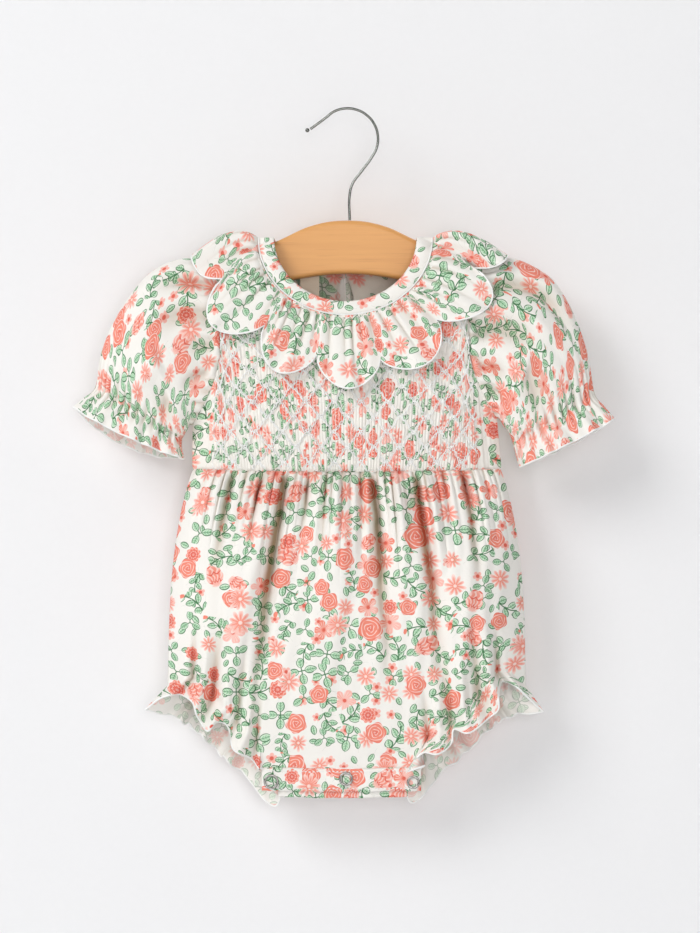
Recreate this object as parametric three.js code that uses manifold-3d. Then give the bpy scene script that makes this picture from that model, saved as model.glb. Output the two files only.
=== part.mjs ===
// A baby romper with a smocked front, a scalloped ruffle collar, short puff sleeves and
// gathered legs, hanging on a small wooden hanger.
// Millimetres, +Z up, the front faces -Y and +X is on the right seen from the front.
// The origin is the inner top of the hook, where a rail or a wall hook holds it.
import * as THREE from 'three';
import Module from 'manifold-3d';
import { mergeVertices } from 'three/addons/utils/BufferGeometryUtils.js';

const wasm = await Module();
wasm.setup();

// Cloth and seams
const SEAM_GAP = 0.3;
const CLOTH = 1.4;
const BAND = 2;

// Smocking on the bodice front
const PLEATS = 68;
const SMOCK_HEIGHT = 1.5;
const SMOCK_MARGIN = 0.07;
const PINCH = 0.8;

// Neck: an ellipse from shoulder to shoulder, deep in front and shallow behind
const NECK = {
  x: -1.4, z: -84, halfWidth: 56.4, innerHalfWidth: 46.1,
  drop: { front: 50, back: 14 }, innerDrop: { front: 41.2, back: 7 },
};
const NECKBAND = { columns: 68, rows: 2 };
// Room between the band and the bodice at the sides of the neck
const NECK_CLEAR = 0.8;
// Share of each half turn in which the neck crosses over the hanger's wood
const CROSSING = 0.06;
const CROSSING_DEPTH = 9.2;

// Shoulder seam, sloping down from the neck, and the roundness of the cloth below it
const SHOULDER = { x: 57.5, z: -86.6, slope: 0.52 };
const SHOULDER_ROUND = 12;

// Bodice sections: edges where front meets back, and how far each stands from the seam plane
const BODICE = [
  { z: -236, left: -99.7, right: 98.9, front: 17, back: 13 },
  { z: -204, left: -99.4, right: 96.4, front: 19, back: 14.5 },
  { z: -199, left: -102.5, right: 95.6, front: 19, back: 14.5 },
  { z: -185, left: -115, right: 108, front: 19, back: 14.5 },
  { z: -160, left: -136, right: 131, front: 18.5, back: 14.5 },
  { z: -60, left: -136, right: 131, front: 15, back: 13 },
];
const BODICE_ROWS = 7;
const BODICE_BACK_COLUMNS = 44;
const WAIST = { z: -235.3, rise: 1.8, half: 99 };

// Armholes: an upright edge that runs out to the armpit, one row a side
const ARMHOLE = {
  left: { edge: -82, armpitX: -99.5, armpitZ: -203.6, sign: -1 },
  right: { edge: 78, armpitX: 95.7, armpitZ: -199.2, sign: 1 },
};
const ARMHOLE_GAP = 0.9;
const ARMPIT_ROOM = 1.5;
const ARMHOLE_FLARE = 0.45;
// Shares of a bodice panel's width whose columns end on the armhole, and on it or the
// shoulder; the first part of the armhole's own share ends on the flare
const ARMHOLE_SHARE = { front: 0.18, back: 0.2 };
const NECK_SHARE = { front: 0.26, back: 0.3 };
const FLARE_SHARE = 0.6;

// Sleeve sections from the armhole to the hem: the upper and the lower outline,
// the depth in front and behind, and how far the middle of each face bows towards the hem
const SLEEVE_LEFT = [
  { outX: -93, outZ: -97.6, inX: -103.4, inZ: -204.2, front: 17, back: 14, bow: { front: -8, back: -8 } },
  { outX: -109, outZ: -97.4, inX: -104.2, inZ: -206, front: 19, back: 16, bow: { front: -7, back: -7 } },
  { outX: -125, outZ: -104, inX: -104.6, inZ: -207.6, front: 20, back: 17, bow: { front: -5, back: -5 } },
  { outX: -138, outZ: -117, inX: -105.5, inZ: -209.2, front: 21, back: 17, bow: { front: -3, back: -3 } },
  { outX: -151, outZ: -137, inX: -106.4, inZ: -210.8, front: 20, back: 16, bow: { front: -2, back: -2 } },
  { outX: -159.5, outZ: -158, inX: -107.2, inZ: -212.4, front: 18, back: 15, bow: { front: -1, back: -1 } },
  { outX: -163.5, outZ: -180, inX: -108, inZ: -214, front: 14, back: 12, bow: { front: 0, back: 1 } },
  { outX: -171, outZ: -187.5, inX: -108, inZ: -220, front: 16, back: 13, bow: { front: 1, back: 5 } },
  { outX: -178.3, outZ: -193.4, inX: -106.5, inZ: -227, front: 17, back: 15, bow: { front: 2, back: 9 } },
];
const SLEEVE_RIGHT = [
  { outX: 91, outZ: -98.4, inX: 99.4, inZ: -200.6, front: 17, back: 14, bow: { front: -8, back: -8 } },
  { outX: 105.3, outZ: -96.6, inX: 100.8, inZ: -202.8, front: 19, back: 16, bow: { front: -7, back: -7 } },
  { outX: 121, outZ: -102.3, inX: 101.8, inZ: -205, front: 20, back: 17, bow: { front: -5, back: -5 } },
  { outX: 135, outZ: -113, inX: 103.6, inZ: -207.4, front: 21, back: 17, bow: { front: -3, back: -3 } },
  { outX: 147.4, outZ: -135, inX: 105.3, inZ: -209.8, front: 20, back: 16, bow: { front: -2, back: -2 } },
  { outX: 155.5, outZ: -159, inX: 106.6, inZ: -212.6, front: 18, back: 15, bow: { front: -1, back: -1 } },
  { outX: 160.2, outZ: -184, inX: 108, inZ: -217, front: 14, back: 12, bow: { front: 0, back: 0 } },
  { outX: 166.7, outZ: -193, inX: 110, inZ: -225, front: 16, back: 13, bow: { front: 0.5, back: 1.5 } },
  { outX: 173.4, outZ: -200.9, inX: 112, inZ: -232, front: 17, back: 15, bow: { front: 0.5, back: 2.5 } },
];
const SLEEVE_COLUMNS = 40;
const SLEEVE_GATHERS = 13;
const SLEEVE_GATHER_HEIGHT = 0.9;
const SLEEVE_GATHER_ROWS = 2;
const SLEEVE_FULLNESS = 0.75;
const ARMPIT_TURN = 8;
const ELASTIC_ROW = 7;
const CUFF_ROWS = 2;
const CUFF_WAVES = 10;
const CUFF_WAVE_HEIGHT = 2.2;

// Body edges, from the left side seam to the right one: share of the waist seam,
// the elastic line and the hem below it, each with its depth from the seam plane
const FRONT_EDGE = [
  { share: 0, x: -116.5, z: -374, depth: 0.2, hemX: -130.5, hemZ: -389.7, hemDepth: 0.2 },
  { share: 0.06, x: -103, z: -368, depth: 10, hemX: -111, hemZ: -380.5, hemDepth: 11 },
  { share: 0.13, x: -90, z: -376, depth: 15, hemX: -97.5, hemZ: -390, hemDepth: 17 },
  { share: 0.2, x: -76, z: -392, depth: 15, hemX: -84, hemZ: -403, hemDepth: 17 },
  { share: 0.27, x: -64, z: -404, depth: 12, hemX: -71, hemZ: -415, hemDepth: 13 },
  { share: 0.33, x: -54, z: -413, depth: 9, hemX: -56, hemZ: -427, hemDepth: 7.4 },
  { share: 0.5, x: -3, z: -417, depth: 10, hemX: -4, hemZ: -427, hemDepth: 7.4 },
  { share: 0.67, x: 46, z: -413, depth: 9, hemX: 47.5, hemZ: -427, hemDepth: 7.4 },
  { share: 0.73, x: 58, z: -402, depth: 12, hemX: 63, hemZ: -413, hemDepth: 13 },
  { share: 0.8, x: 73, z: -391, depth: 15, hemX: 80, hemZ: -401, hemDepth: 17 },
  { share: 0.87, x: 87, z: -375, depth: 15, hemX: 95, hemZ: -388, hemDepth: 17 },
  { share: 0.94, x: 101, z: -364, depth: 10, hemX: 108, hemZ: -374, hemDepth: 11 },
  { share: 1, x: 115.5, z: -374, depth: 0.2, hemX: 126.6, hemZ: -391, hemDepth: 0.2 },
];
const BACK_EDGE = [
  { share: 0, x: -116.5, z: -374, depth: 0.2, hemX: -130.5, hemZ: -389.7, hemDepth: 0.2 },
  { share: 0.06, x: -103, z: -382, depth: 9, hemX: -113, hemZ: -395.5, hemDepth: 9 },
  { share: 0.13, x: -88, z: -391, depth: 13, hemX: -98, hemZ: -405, hemDepth: 14 },
  { share: 0.2, x: -74, z: -405, depth: 13, hemX: -84, hemZ: -419, hemDepth: 14 },
  { share: 0.27, x: -60, z: -418, depth: 8, hemX: -66, hemZ: -434, hemDepth: 9 },
  { share: 0.33, x: -50, z: -428, depth: 0, hemX: -46, hemZ: -452, hemDepth: 1 },
  { share: 0.37, x: -38, z: -426, depth: -3, hemX: -40, hemZ: -431, hemDepth: -4.6 },
  { share: 0.5, x: -3, z: -424, depth: -2, hemX: -4, hemZ: -431, hemDepth: -4.6 },
  { share: 0.63, x: 32, z: -426, depth: -3, hemX: 34, hemZ: -431, hemDepth: -4.6 },
  { share: 0.67, x: 44, z: -427, depth: 0, hemX: 41, hemZ: -450, hemDepth: 1 },
  { share: 0.73, x: 54, z: -417, depth: 8, hemX: 60, hemZ: -433, hemDepth: 9 },
  { share: 0.8, x: 70, z: -404, depth: 13, hemX: 79, hemZ: -417, hemDepth: 14 },
  { share: 0.87, x: 85, z: -391, depth: 13, hemX: 93, hemZ: -403, hemDepth: 14 },
  { share: 0.94, x: 101, z: -382, depth: 9, hemX: 108, hemZ: -394, hemDepth: 9 },
  { share: 1, x: 115.5, z: -374, depth: 0.2, hemX: 126.6, hemZ: -391, hemDepth: 0.2 },
];
const BODY = {
  front: { edge: FRONT_EDGE, columns: 66, rows: 10, puff: 15, sign: -1 },
  back: { edge: BACK_EDGE, columns: 54, rows: 8, puff: 12, sign: 1 },
};
const BODY_GATHERS = { front: 22, back: 18 };
const BODY_GATHER_HEIGHT = 1.7;
const BODY_GATHER_REACH = 0.45;
const FOLD_START = 0.05;
const FALL_EARLY = 1.15;
const BULGE_HIGH = 0.8;
const OUTLINE_SWELL = 6;
const OUTLINE_SWELL_HIGH = 0.75;
const LEG_WAVES = 20;
const LEG_WAVE_HEIGHT = 2.4;
const LEG_PART = 0.32;
const RUFFLE_ROWS = 3;

// Main folds of the body: where they start on the waist, how they drift, how far they run
// down, how deep they are and how wide; troughs are negative
const FOLDS = [
  { share: 0.31, drift: -0.02, reach: 0.75, height: -4.5, width: 0.03 },
  { share: 0.227, drift: -0.01, reach: 0.3, height: -2.5, width: 0.02 },
  { share: 0.38, drift: 0, reach: 0.25, height: -2.2, width: 0.02 },
  { share: 0.585, drift: 0.03, reach: 0.6, height: -3.6, width: 0.03 },
  { share: 0.72, drift: 0.03, reach: 0.75, height: -3.8, width: 0.03 },
  { share: 0.47, drift: 0.02, reach: 0.5, height: 2.4, width: 0.05 },
  { share: 0.14, drift: 0, reach: 0.6, height: -2.6, width: 0.03 },
  { share: 0.87, drift: 0.01, reach: 0.6, height: -2.6, width: 0.03 },
];

// Collar lobes from the right shoulder over the front to the left one: the angle round the
// neck at which a lobe starts, the notch there, and the lobe's outermost point
const LOBES = [
  { angle: 22, notchX: 80.5, notchZ: -104, tipX: 91, tipZ: -128 },
  { angle: 52, notchX: 57, notchZ: -137, tipX: 52, tipZ: -165 },
  { angle: 77, notchX: 21, notchZ: -163, tipX: -0.3, tipZ: -181.4 },
  { angle: 104, notchX: -19.8, notchZ: -160, tipX: -46.5, tipZ: -170 },
  { angle: 130, notchX: -53.4, notchZ: -141, tipX: -87, tipZ: -141 },
  { angle: 158, notchX: -80.3, notchZ: -111, tipX: 0, tipZ: 0 },
];
const SHOULDER_LOBES = {
  right: { tipX: 103.8, tipZ: -94.5 },
  left: { tipX: -101.2, tipZ: -94.5 },
};
const LOBE_COLUMNS = 10;
const LOBE_ROUND = 0.6;
const SHOULDER_LOBE_ROUND = { x: 0.35, z: 1.5 };
const COLLAR_ROWS = 3;
const COLLAR_LIFT = CLOTH + SMOCK_HEIGHT + 0.4;
const COLLAR_STAND = 4;
const COLLAR_WAVE = 4.5;
const COLLAR_SHOULDER_RISE = 9;
const COLLAR_SHOULDER_TURN = 6;
const COLLAR_RISE_EARLY = 0.8;
const COLLAR_SEAM = 0.6;
const BACK_SPLIT = 0.5;
const SPLIT_SHARES = [0.47, 0.53];
const SPLIT_LOBE = 8;

// Keyhole at the centre back, with its button and loop
const KEYHOLE = { x: -1.4, top: -107, bottom: -127, half: 5.4, slit: 0.5, depth: 40 };
const BUTTON = {
  x: 2.4, z: -94.2, radius: 3.4, under: 2.9, crown: 2.4, shank: 1.2, rise: 1.6, rim: 2.2, top: 3.2,
};
const LOOP = { radius: 0.5, start: -4.2, spread: 1.2, curve: 2, steps: 16 };
const LABEL = {
  left: -31, right: -18.5, top: -99.5, bottom: -121.7, clear: 0.4, thickness: 1, columns: 3, rows: 4,
};

// Crotch bands and their snaps
const PLACKETS = {
  front: { left: -55.5, right: 47.6, top: -427.5, bottom: -441.5, y: -7.4, thickness: 2.2 },
  back: { left: -44.5, right: 38.6, top: -431.5, bottom: -445.7, y: -4.9, thickness: 1.8 },
};
const PLACKET_CORNER = 2.5;
const SNAPS = [
  { name: 'snap_left', x: -49.4, z: -435.6, outer: 4.9 },
  { name: 'snap_middle', x: -1, z: -433.8, outer: 4.6 },
  { name: 'snap_right', x: 42.6, z: -436, outer: 4.3 },
];
const SNAP_WALL = 1.3;
const SNAP_HEIGHT = 1;
const SNAP_EDGE = 0.4;

// Hanger
const WOOD = { depth: 11, round: 3 };
const WOOD_TOP = [
  { x: 0, z: -72 }, { x: 22, z: -75 }, { x: 44, z: -84.6 }, { x: 58, z: -90.8 },
  { x: 82, z: -104.2 }, { x: 100, z: -112.8 }, { x: 117, z: -121.5 },
];
const WOOD_BOTTOM = [
  { x: 114, z: -128.5 }, { x: 98, z: -126 }, { x: 70, z: -119 }, { x: 36, z: -110.6 },
  { x: 0, z: -106.5 },
];
const WIRE = { radius: 1.1, sides: 8, steps: 34 };
// The hook's arc from its free end to the bend, in degrees, and the wire below the arc
const HOOK = { radius: 19.8, z: -18.7, from: 154, to: -38, steps: 8 };
const HOOK_END = { x: -24.2, z: -12.4, ball: 1.7, reach: 2 };
const HOOK_STEM = [{ x: 8.9, z: -40 }, { x: 3.2, z: -48 }, { x: 1.4, z: -55 }, { x: 1.4, z: -71.6 }];

const COLOURS = {
  cloth: { color: 0xf4e6e0, roughness: 0.9, metalness: 0 },
  band: { color: 0xf3ddd6, roughness: 0.9, metalness: 0 },
  label: { color: 0xe9ddca, roughness: 0.9, metalness: 0 },
  snap: { color: 0xc9c9cb, roughness: 0.3, metalness: 1 },
  pearl: { color: 0xf2eee6, roughness: 0.35, metalness: 0 },
  wood: { color: 0xdea062, roughness: 0.5, metalness: 0 },
  wire: { color: 0xc4c6c9, roughness: 0.25, metalness: 1 },
};

const group = new THREE.Group();

// Adds one named sub-part with its own material
function add(name, geometry, finish) {
  const mesh = new THREE.Mesh(geometry, new THREE.MeshStandardMaterial(COLOURS[finish]));
  mesh.name = name;
  group.add(mesh);
}

const lerp = (from, to, share) => from + (to - from) * share;
const clamp = (value, low, high) => Math.min(high, Math.max(low, value));
const smooth = (share) => share * share * (3 - 2 * share);
const bump = (distance, width) => Math.exp(-((distance / width) ** 2));

// Reads one column of a table whose key column grows, straight between the rows
function look(table, key, at, column) {
  const last = table.length - 1;
  if (at <= table[0][key]) return table[0][column];
  if (at >= table[last][key]) return table[last][column];
  let row = 0;
  while (at > table[row + 1][key]) row += 1;
  const from = table[row];
  const to = table[row + 1];
  return lerp(from[column], to[column], (at - from[key]) / (to[key] - from[key]));
}

// How far a pillow-like section stands out, 1 in the middle and 0 at its side edges
function pillow(share) {
  return (1 - Math.min(1, Math.abs(share)) ** 3) ** 0.7;
}

function shoulderZ(x) {
  return SHOULDER.z - SHOULDER.slope * (Math.abs(x) - SHOULDER.x);
}

// Depth of the bodice's inner face from the seam plane, at a place seen from the front
function bodiceDepth(x, z, face) {
  const left = look(BODICE, 'z', z, 'left');
  const right = look(BODICE, 'z', z, 'right');
  const middle = (left + right) / 2;
  const drop = clamp((shoulderZ(x) - z) / SHOULDER_ROUND, 0, 1);
  const roof = Math.sqrt(1 - (1 - drop) ** 2);
  const share = (x - middle) / ((right - left) / 2);
  return SEAM_GAP / 2 + look(BODICE, 'z', z, face) * pillow(share) * roof;
}

function waistZ(x) {
  return WAIST.z + WAIST.rise * (x / WAIST.half) ** 2;
}

// The armhole seam from the armpit, 0, to the shoulder, 1
function armhole(side, share) {
  const hole = ARMHOLE[side];
  const top = shoulderZ(hole.edge);
  const flare = Math.max(0, 1 - share / ARMHOLE_FLARE) ** 1.7;
  return { x: lerp(hole.edge, hole.armpitX, flare), z: lerp(hole.armpitZ, top, share) };
}

// The upper edge of a bodice panel from the left side seam, 0, to the right one, 1
function bodiceTop(share, face) {
  const fromSide = Math.min(share, 1 - share);
  const side = share < 0.5 ? 'left' : 'right';
  const hole = ARMHOLE[side];
  const armholeEnd = ARMHOLE_SHARE[face];
  const seamEnd = NECK_SHARE[face];
  if (fromSide < armholeEnd) {
    const along = fromSide / armholeEnd;
    const flare = ARMHOLE_FLARE * Math.min(1, along / FLARE_SHARE);
    const upright = (1 - ARMHOLE_FLARE) * Math.max(0, (along - FLARE_SHARE) / (1 - FLARE_SHARE));
    return armhole(side, flare + upright);
  }
  const half = NECK.halfWidth + NECK_CLEAR;
  if (fromSide < seamEnd) {
    const seamShare = (fromSide - armholeEnd) / (seamEnd - armholeEnd);
    const x = lerp(hole.edge, NECK.x + hole.sign * half, seamShare);
    return { x, z: shoulderZ(x) };
  }
  const neckShare = (share - seamEnd) / (1 - 2 * seamEnd);
  const x = lerp(NECK.x - half, NECK.x + half, neckShare);
  const away = Math.sqrt(1 - ((x - NECK.x) / half) ** 2);
  return { x, z: Math.min(shoulderZ(x), NECK.z - SEAM_GAP - NECK.drop[face] * away) };
}

// Normals of a grid of points, all on one side of it; a tube's columns run all round
function normals(grid, tube, sign) {
  const count = grid.length;
  return grid.map((column, i) => column.map((point, j) => {
    const before = tube ? grid[(i + count - 1) % count][j] : grid[Math.max(0, i - 1)][j];
    const after = tube ? grid[(i + 1) % count][j] : grid[Math.min(count - 1, i + 1)][j];
    const below = column[Math.max(0, j - 1)];
    const above = column[Math.min(column.length - 1, j + 1)];
    const across = after.clone().sub(before);
    const along = above.clone().sub(below);
    return across.cross(along).normalize().multiplyScalar(sign);
  }));
}

// The grid moved along its normals by a thickness that may change from point to point; at a
// seam the move keeps the coordinate that `held` names, so that neighbours keep their gap
function moved(grid, thickness, tube, sign, held = () => null) {
  const away = normals(grid, tube, sign);
  return grid.map((column, i) => column.map((point, j) => {
    const direction = away[i][j];
    const axis = held(i, j);
    if (axis) direction.setComponent('xyz'.indexOf(axis), 0).normalize();
    return point.clone().addScaledVector(direction, thickness(i, j));
  }));
}

// A closed wall between two grids: the outer one has every column and the inner one each
// skip-th of them, so that raised work on the outside lies over a plain inside
function wall(outer, inner, tube, skip = 1) {
  const rows = outer[0].length;
  const positions = [];
  const index = [];
  const outerAt = (i, j) => (i % outer.length) * rows + j;
  const innerStart = outer.length * rows;
  const innerColumns = inner.filter((column, i) => i % skip === 0);
  const innerAt = (i, j) => innerStart + (i % innerColumns.length) * rows + j;
  for (const column of outer) for (const p of column) positions.push(p.x, p.y, p.z);
  for (const column of innerColumns) for (const p of column) positions.push(p.x, p.y, p.z);
  const cells = tube ? outer.length : outer.length - 1;
  const top = rows - 1;
  for (let i = 0; i < cells; i += 1) {
    for (let j = 0; j < top; j += 1) {
      index.push(outerAt(i, j), outerAt(i + 1, j), outerAt(i + 1, j + 1));
      index.push(outerAt(i, j), outerAt(i + 1, j + 1), outerAt(i, j + 1));
    }
  }
  for (let cell = 0; cell < cells / skip; cell += 1) {
    for (let j = 0; j < top; j += 1) {
      index.push(innerAt(cell, j), innerAt(cell + 1, j + 1), innerAt(cell + 1, j));
      index.push(innerAt(cell, j), innerAt(cell, j + 1), innerAt(cell + 1, j + 1));
    }
    const first = cell * skip;
    for (let i = first; i < first + skip; i += 1) {
      index.push(outerAt(i + 1, 0), outerAt(i, 0), innerAt(cell, 0));
      index.push(outerAt(i, top), outerAt(i + 1, top), innerAt(cell, top));
    }
    const end = first + skip;
    index.push(outerAt(end, 0), innerAt(cell, 0), innerAt(cell + 1, 0));
    index.push(outerAt(end, top), innerAt(cell + 1, top), innerAt(cell, top));
  }
  if (!tube) {
    const lastInner = innerColumns.length - 1;
    for (let j = 0; j < top; j += 1) {
      index.push(outerAt(0, j), outerAt(0, j + 1), innerAt(0, j + 1));
      index.push(outerAt(0, j), innerAt(0, j + 1), innerAt(0, j));
      index.push(outerAt(cells, j + 1), outerAt(cells, j), innerAt(lastInner, j));
      index.push(outerAt(cells, j + 1), innerAt(lastInner, j), innerAt(lastInner, j + 1));
    }
  }
  return outwards(positions, index);
}

// A geometry whose faces point out, turned round if its signed volume is negative
function outwards(positions, index) {
  let volume = 0;
  const corner = (n) => new THREE.Vector3().fromArray(positions, index[n] * 3);
  for (let n = 0; n < index.length; n += 3) {
    volume += corner(n).dot(corner(n + 1).cross(corner(n + 2)));
  }
  if (volume < 0) index.reverse();
  const geometry = new THREE.BufferGeometry();
  geometry.setAttribute('position', new THREE.Float32BufferAttribute(positions, 3));
  geometry.setIndex(index);
  return geometry;
}

// A closed geometry as a solid that can be cut, and back again
function solid(geometry) {
  const bare = geometry.clone();
  bare.deleteAttribute('normal');
  bare.deleteAttribute('uv');
  const merged = mergeVertices(bare, 1e-4);
  return new wasm.Manifold(new wasm.Mesh({
    numProp: 3,
    vertProperties: new Float32Array(merged.attributes.position.array),
    triVerts: new Uint32Array(merged.index.array),
  }));
}

function geometryOf(body) {
  const mesh = body.getMesh();
  const geometry = new THREE.BufferGeometry();
  geometry.setAttribute('position', new THREE.BufferAttribute(mesh.vertProperties, 3));
  geometry.setIndex(new THREE.BufferAttribute(mesh.triVerts, 1));
  return geometry;
}

// A bodice panel's inner face: columns straight up from the waist to its upper edge
function bodiceGrid(face, columns, rows) {
  const sign = face === 'front' ? -1 : 1;
  const grid = [];
  for (let i = 0; i <= columns; i += 1) {
    const share = i / columns;
    const waistX = lerp(BODICE[0].left, BODICE[0].right, share);
    const top = bodiceTop(share, face);
    const bottom = waistZ(waistX);
    const column = [];
    for (let j = 0; j <= rows; j += 1) {
      const rise = 1 - (1 - j / rows) ** 2;
      const x = lerp(waistX, top.x, rise);
      const z = lerp(bottom, top.z, rise);
      const closed = i === 0 || i === columns;
      const depth = closed ? SEAM_GAP / 2 : bodiceDepth(x, z, face);
      column.push(new THREE.Vector3(x, sign * depth, z));
    }
    grid.push(column);
  }
  return grid;
}

// Height of the smocking over the plain wall: narrow upright pleats, a little lower where
// the honeycomb stitches pinch them, on one pleat or the next from row to row
function smocking(i, j, columns, rows) {
  const share = i / columns;
  const inside = share > SMOCK_MARGIN && share < 1 - SMOCK_MARGIN;
  if (!inside || i % 2 === 0 || j === 0 || j === rows) return 0;
  const pinched = (Math.floor(i / 2) + j) % 2 === 0;
  return pinched ? SMOCK_HEIGHT * PINCH : SMOCK_HEIGHT;
}

// The coordinate that a bodice panel keeps while it gets its thickness: the height along
// the waist seam and the width along the armholes
function bodiceHeld(face, columns, rows) {
  return (i, j) => {
    const fromSide = Math.min(i, columns - i) / columns;
    if (j === 0) return 'z';
    return j === rows && fromSide <= ARMHOLE_SHARE[face] ? 'x' : null;
  };
}

function addBodice() {
  const marginColumns = Math.round(SMOCK_MARGIN * PLEATS) * 2;
  const columns = 4 * Math.ceil((PLEATS * 2 + marginColumns) / 4);
  const rows = BODICE_ROWS;
  const base = bodiceGrid('front', columns, rows);
  const height = (i, j) => CLOTH + smocking(i, j, columns, rows);
  const outer = moved(base, height, false, 1, bodiceHeld('front', columns, rows));
  add('bodice_front', wall(outer, base, false, 4), 'cloth');

  const backColumns = BODICE_BACK_COLUMNS;
  const backBase = bodiceGrid('back', backColumns, rows);
  const backOuter = moved(backBase, () => CLOTH, false, -1, bodiceHeld('back', backColumns, rows));
  const cutter = solid(keyholeCutter());
  const back = solid(wall(backOuter, backBase, false)).subtract(cutter);
  add('bodice_back', geometryOf(back), 'cloth');
}

// A drop shape with a narrow slit above it, through the back panel
function keyholeCutter() {
  const drop = new THREE.Shape();
  const { x, top, bottom, half, slit, depth } = KEYHOLE;
  const above = NECK.z;
  drop.moveTo(x - slit, above);
  drop.lineTo(x - slit, top);
  drop.quadraticCurveTo(x - half, (top + bottom) / 2, x - half, bottom + half);
  drop.absarc(x, bottom + half, half, Math.PI, Math.PI * 2, false);
  drop.quadraticCurveTo(x + half, (top + bottom) / 2, x + slit, top);
  drop.lineTo(x + slit, above);
  const cutter = new THREE.ExtrudeGeometry(drop, { depth, bevelEnabled: false, curveSegments: 6 });
  cutter.rotateX(Math.PI / 2);
  cutter.translate(0, depth, 0);
  return cutter;
}

// Place round the neck: 0 is the right shoulder, then the front, the left shoulder at a half
// and the back; near a shoulder the neck stands still in x and z and crosses the wood
function neckTurn(turn) {
  const wrapped = ((turn % 1) + 1) % 1;
  const face = wrapped < 0.5 ? 'front' : 'back';
  const half = (wrapped % 0.5) * 2;
  const across = clamp(Math.min(half, 1 - half) / CROSSING, 0, 1);
  const run = clamp((half - CROSSING) / (1 - 2 * CROSSING), 0, 1);
  const angle = face === 'front' ? run * Math.PI : (1 - run) * Math.PI;
  return { face, sign: face === 'front' ? -1 : 1, across, angle };
}

function neckPoint(turn, halfWidth, drop, lift) {
  const { face, sign, across, angle } = neckTurn(turn);
  const x = NECK.x + halfWidth * Math.cos(angle);
  const z = NECK.z - drop[face] * Math.sin(angle);
  const depth = Math.max(CROSSING_DEPTH, bodiceDepth(x, z, face)) + lift;
  return new THREE.Vector3(x, sign * depth * across, z);
}

function addNeckband() {
  const { columns, rows } = NECKBAND;
  const grid = [];
  for (let i = 0; i <= columns; i += 1) {
    const turn = lerp(0.75 + BACK_SPLIT / 360, 1.75 - BACK_SPLIT / 360, i / columns);
    const column = [];
    for (let j = 0; j <= rows; j += 1) {
      const share = j / rows;
      const halfWidth = lerp(NECK.halfWidth, NECK.innerHalfWidth, share);
      const drop = {
        front: lerp(NECK.drop.front, NECK.innerDrop.front, share),
        back: lerp(NECK.drop.back, NECK.innerDrop.back, share),
      };
      column.push(neckPoint(turn, halfWidth, drop, 0));
    }
    grid.push(column);
  }
  add('neckband', wall(moved(grid, () => BAND, false, -1), grid, false), 'band');
}

// The lobes all round as a list: start and end on the turn with their notches, the tip and
// how round the lobe is; the back repeats the front's, raised as the back neck is
function collarLobes() {
  const rows = [];
  const drop = NECK.drop.front - NECK.drop.back;
  const notch = (n, face) => {
    const angle = LOBES[n].angle;
    const rise = face === 'back' ? drop * Math.sin(angle * Math.PI / 180) : 0;
    const turn = face === 'front' ? angle / 360 : 1 - angle / 360;
    return { turn, x: LOBES[n].notchX, z: LOBES[n].notchZ + rise };
  };
  const last = LOBES.length - 1;
  const front = { x: LOBE_ROUND, z: LOBE_ROUND };
  const lobe = (from, to, tipX, tipZ, round = front) => rows.push({ from, to, tipX, tipZ, round });
  for (let n = 0; n < last; n += 1) {
    lobe(notch(n, 'front'), notch(n + 1, 'front'), LOBES[n].tipX, LOBES[n].tipZ);
  }
  const { left, right } = SHOULDER_LOBES;
  lobe(notch(last, 'front'), notch(last, 'back'), left.tipX, left.tipZ, SHOULDER_LOBE_ROUND);
  for (let n = last; n > 0; n -= 1) {
    const middle = (LOBES[n].angle + LOBES[n - 1].angle) / 2;
    const rise = drop * Math.sin(middle * Math.PI / 180);
    lobe(notch(n, 'back'), notch(n - 1, 'back'), LOBES[n - 1].tipX, LOBES[n - 1].tipZ + rise);
  }
  const start = notch(0, 'front');
  const end = { ...start, turn: start.turn + 1 };
  lobe(notch(0, 'back'), end, right.tipX, right.tipZ, SHOULDER_LOBE_ROUND);
  return rows;
}

function addCollar() {
  const grid = [];
  let start = 0;
  collarLobes().forEach(({ from, to, tipX, tipZ, round }, n) => {
    let shares = Array.from({ length: LOBE_COLUMNS }, (empty, step) => step / LOBE_COLUMNS);
    if (n === SPLIT_LOBE) {
      const half = LOBE_COLUMNS / 2;
      start = grid.length + half + 1;
      shares = [...shares.slice(0, half), ...SPLIT_SHARES, ...shares.slice(half + 1)];
    }
    for (const share of shares) {
      const swell = Math.sin(Math.PI * share);
      const edgeX = lerp(from.x, to.x, share) + (tipX - (from.x + to.x) / 2) * swell ** round.x;
      const edgeZ = lerp(from.z, to.z, share) + (tipZ - (from.z + to.z) / 2) * swell ** round.z;
      grid.push(collarColumn(lerp(from.turn, to.turn, share), edgeX, edgeZ, swell ** LOBE_ROUND));
    }
  });
  const open = [...grid.slice(start), ...grid.slice(0, start)];
  add('collar_ruffle', wall(moved(open, () => CLOTH, false, 1), open, false), 'cloth');
}

// One column of the collar, from the neck seam out to a point of its scalloped edge
function collarColumn(turn, edgeX, edgeZ, swell) {
  const { face, sign, across } = neckTurn(turn);
  const seam = neckPoint(turn, NECK.halfWidth + COLLAR_SEAM, NECK.drop, 0);
  const nearShoulder = Math.abs(Math.cos(turn * Math.PI * 2)) ** COLLAR_SHOULDER_TURN;
  const column = [];
  for (let j = 0; j <= COLLAR_ROWS; j += 1) {
    const share = j / COLLAR_ROWS;
    const x = lerp(seam.x, edgeX, share);
    const arch = Math.sin(Math.PI * share ** COLLAR_RISE_EARLY);
    const rise = COLLAR_SHOULDER_RISE * arch * nearShoulder;
    const z = lerp(seam.z, edgeZ, share) + rise;
    const lift = COLLAR_LIFT + COLLAR_STAND * share + COLLAR_WAVE * swell * share;
    const depth = Math.max(CROSSING_DEPTH, bodiceDepth(x, z, face)) + lift;
    column.push(new THREE.Vector3(x, sign * depth * across, z));
  }
  return column;
}

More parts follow.
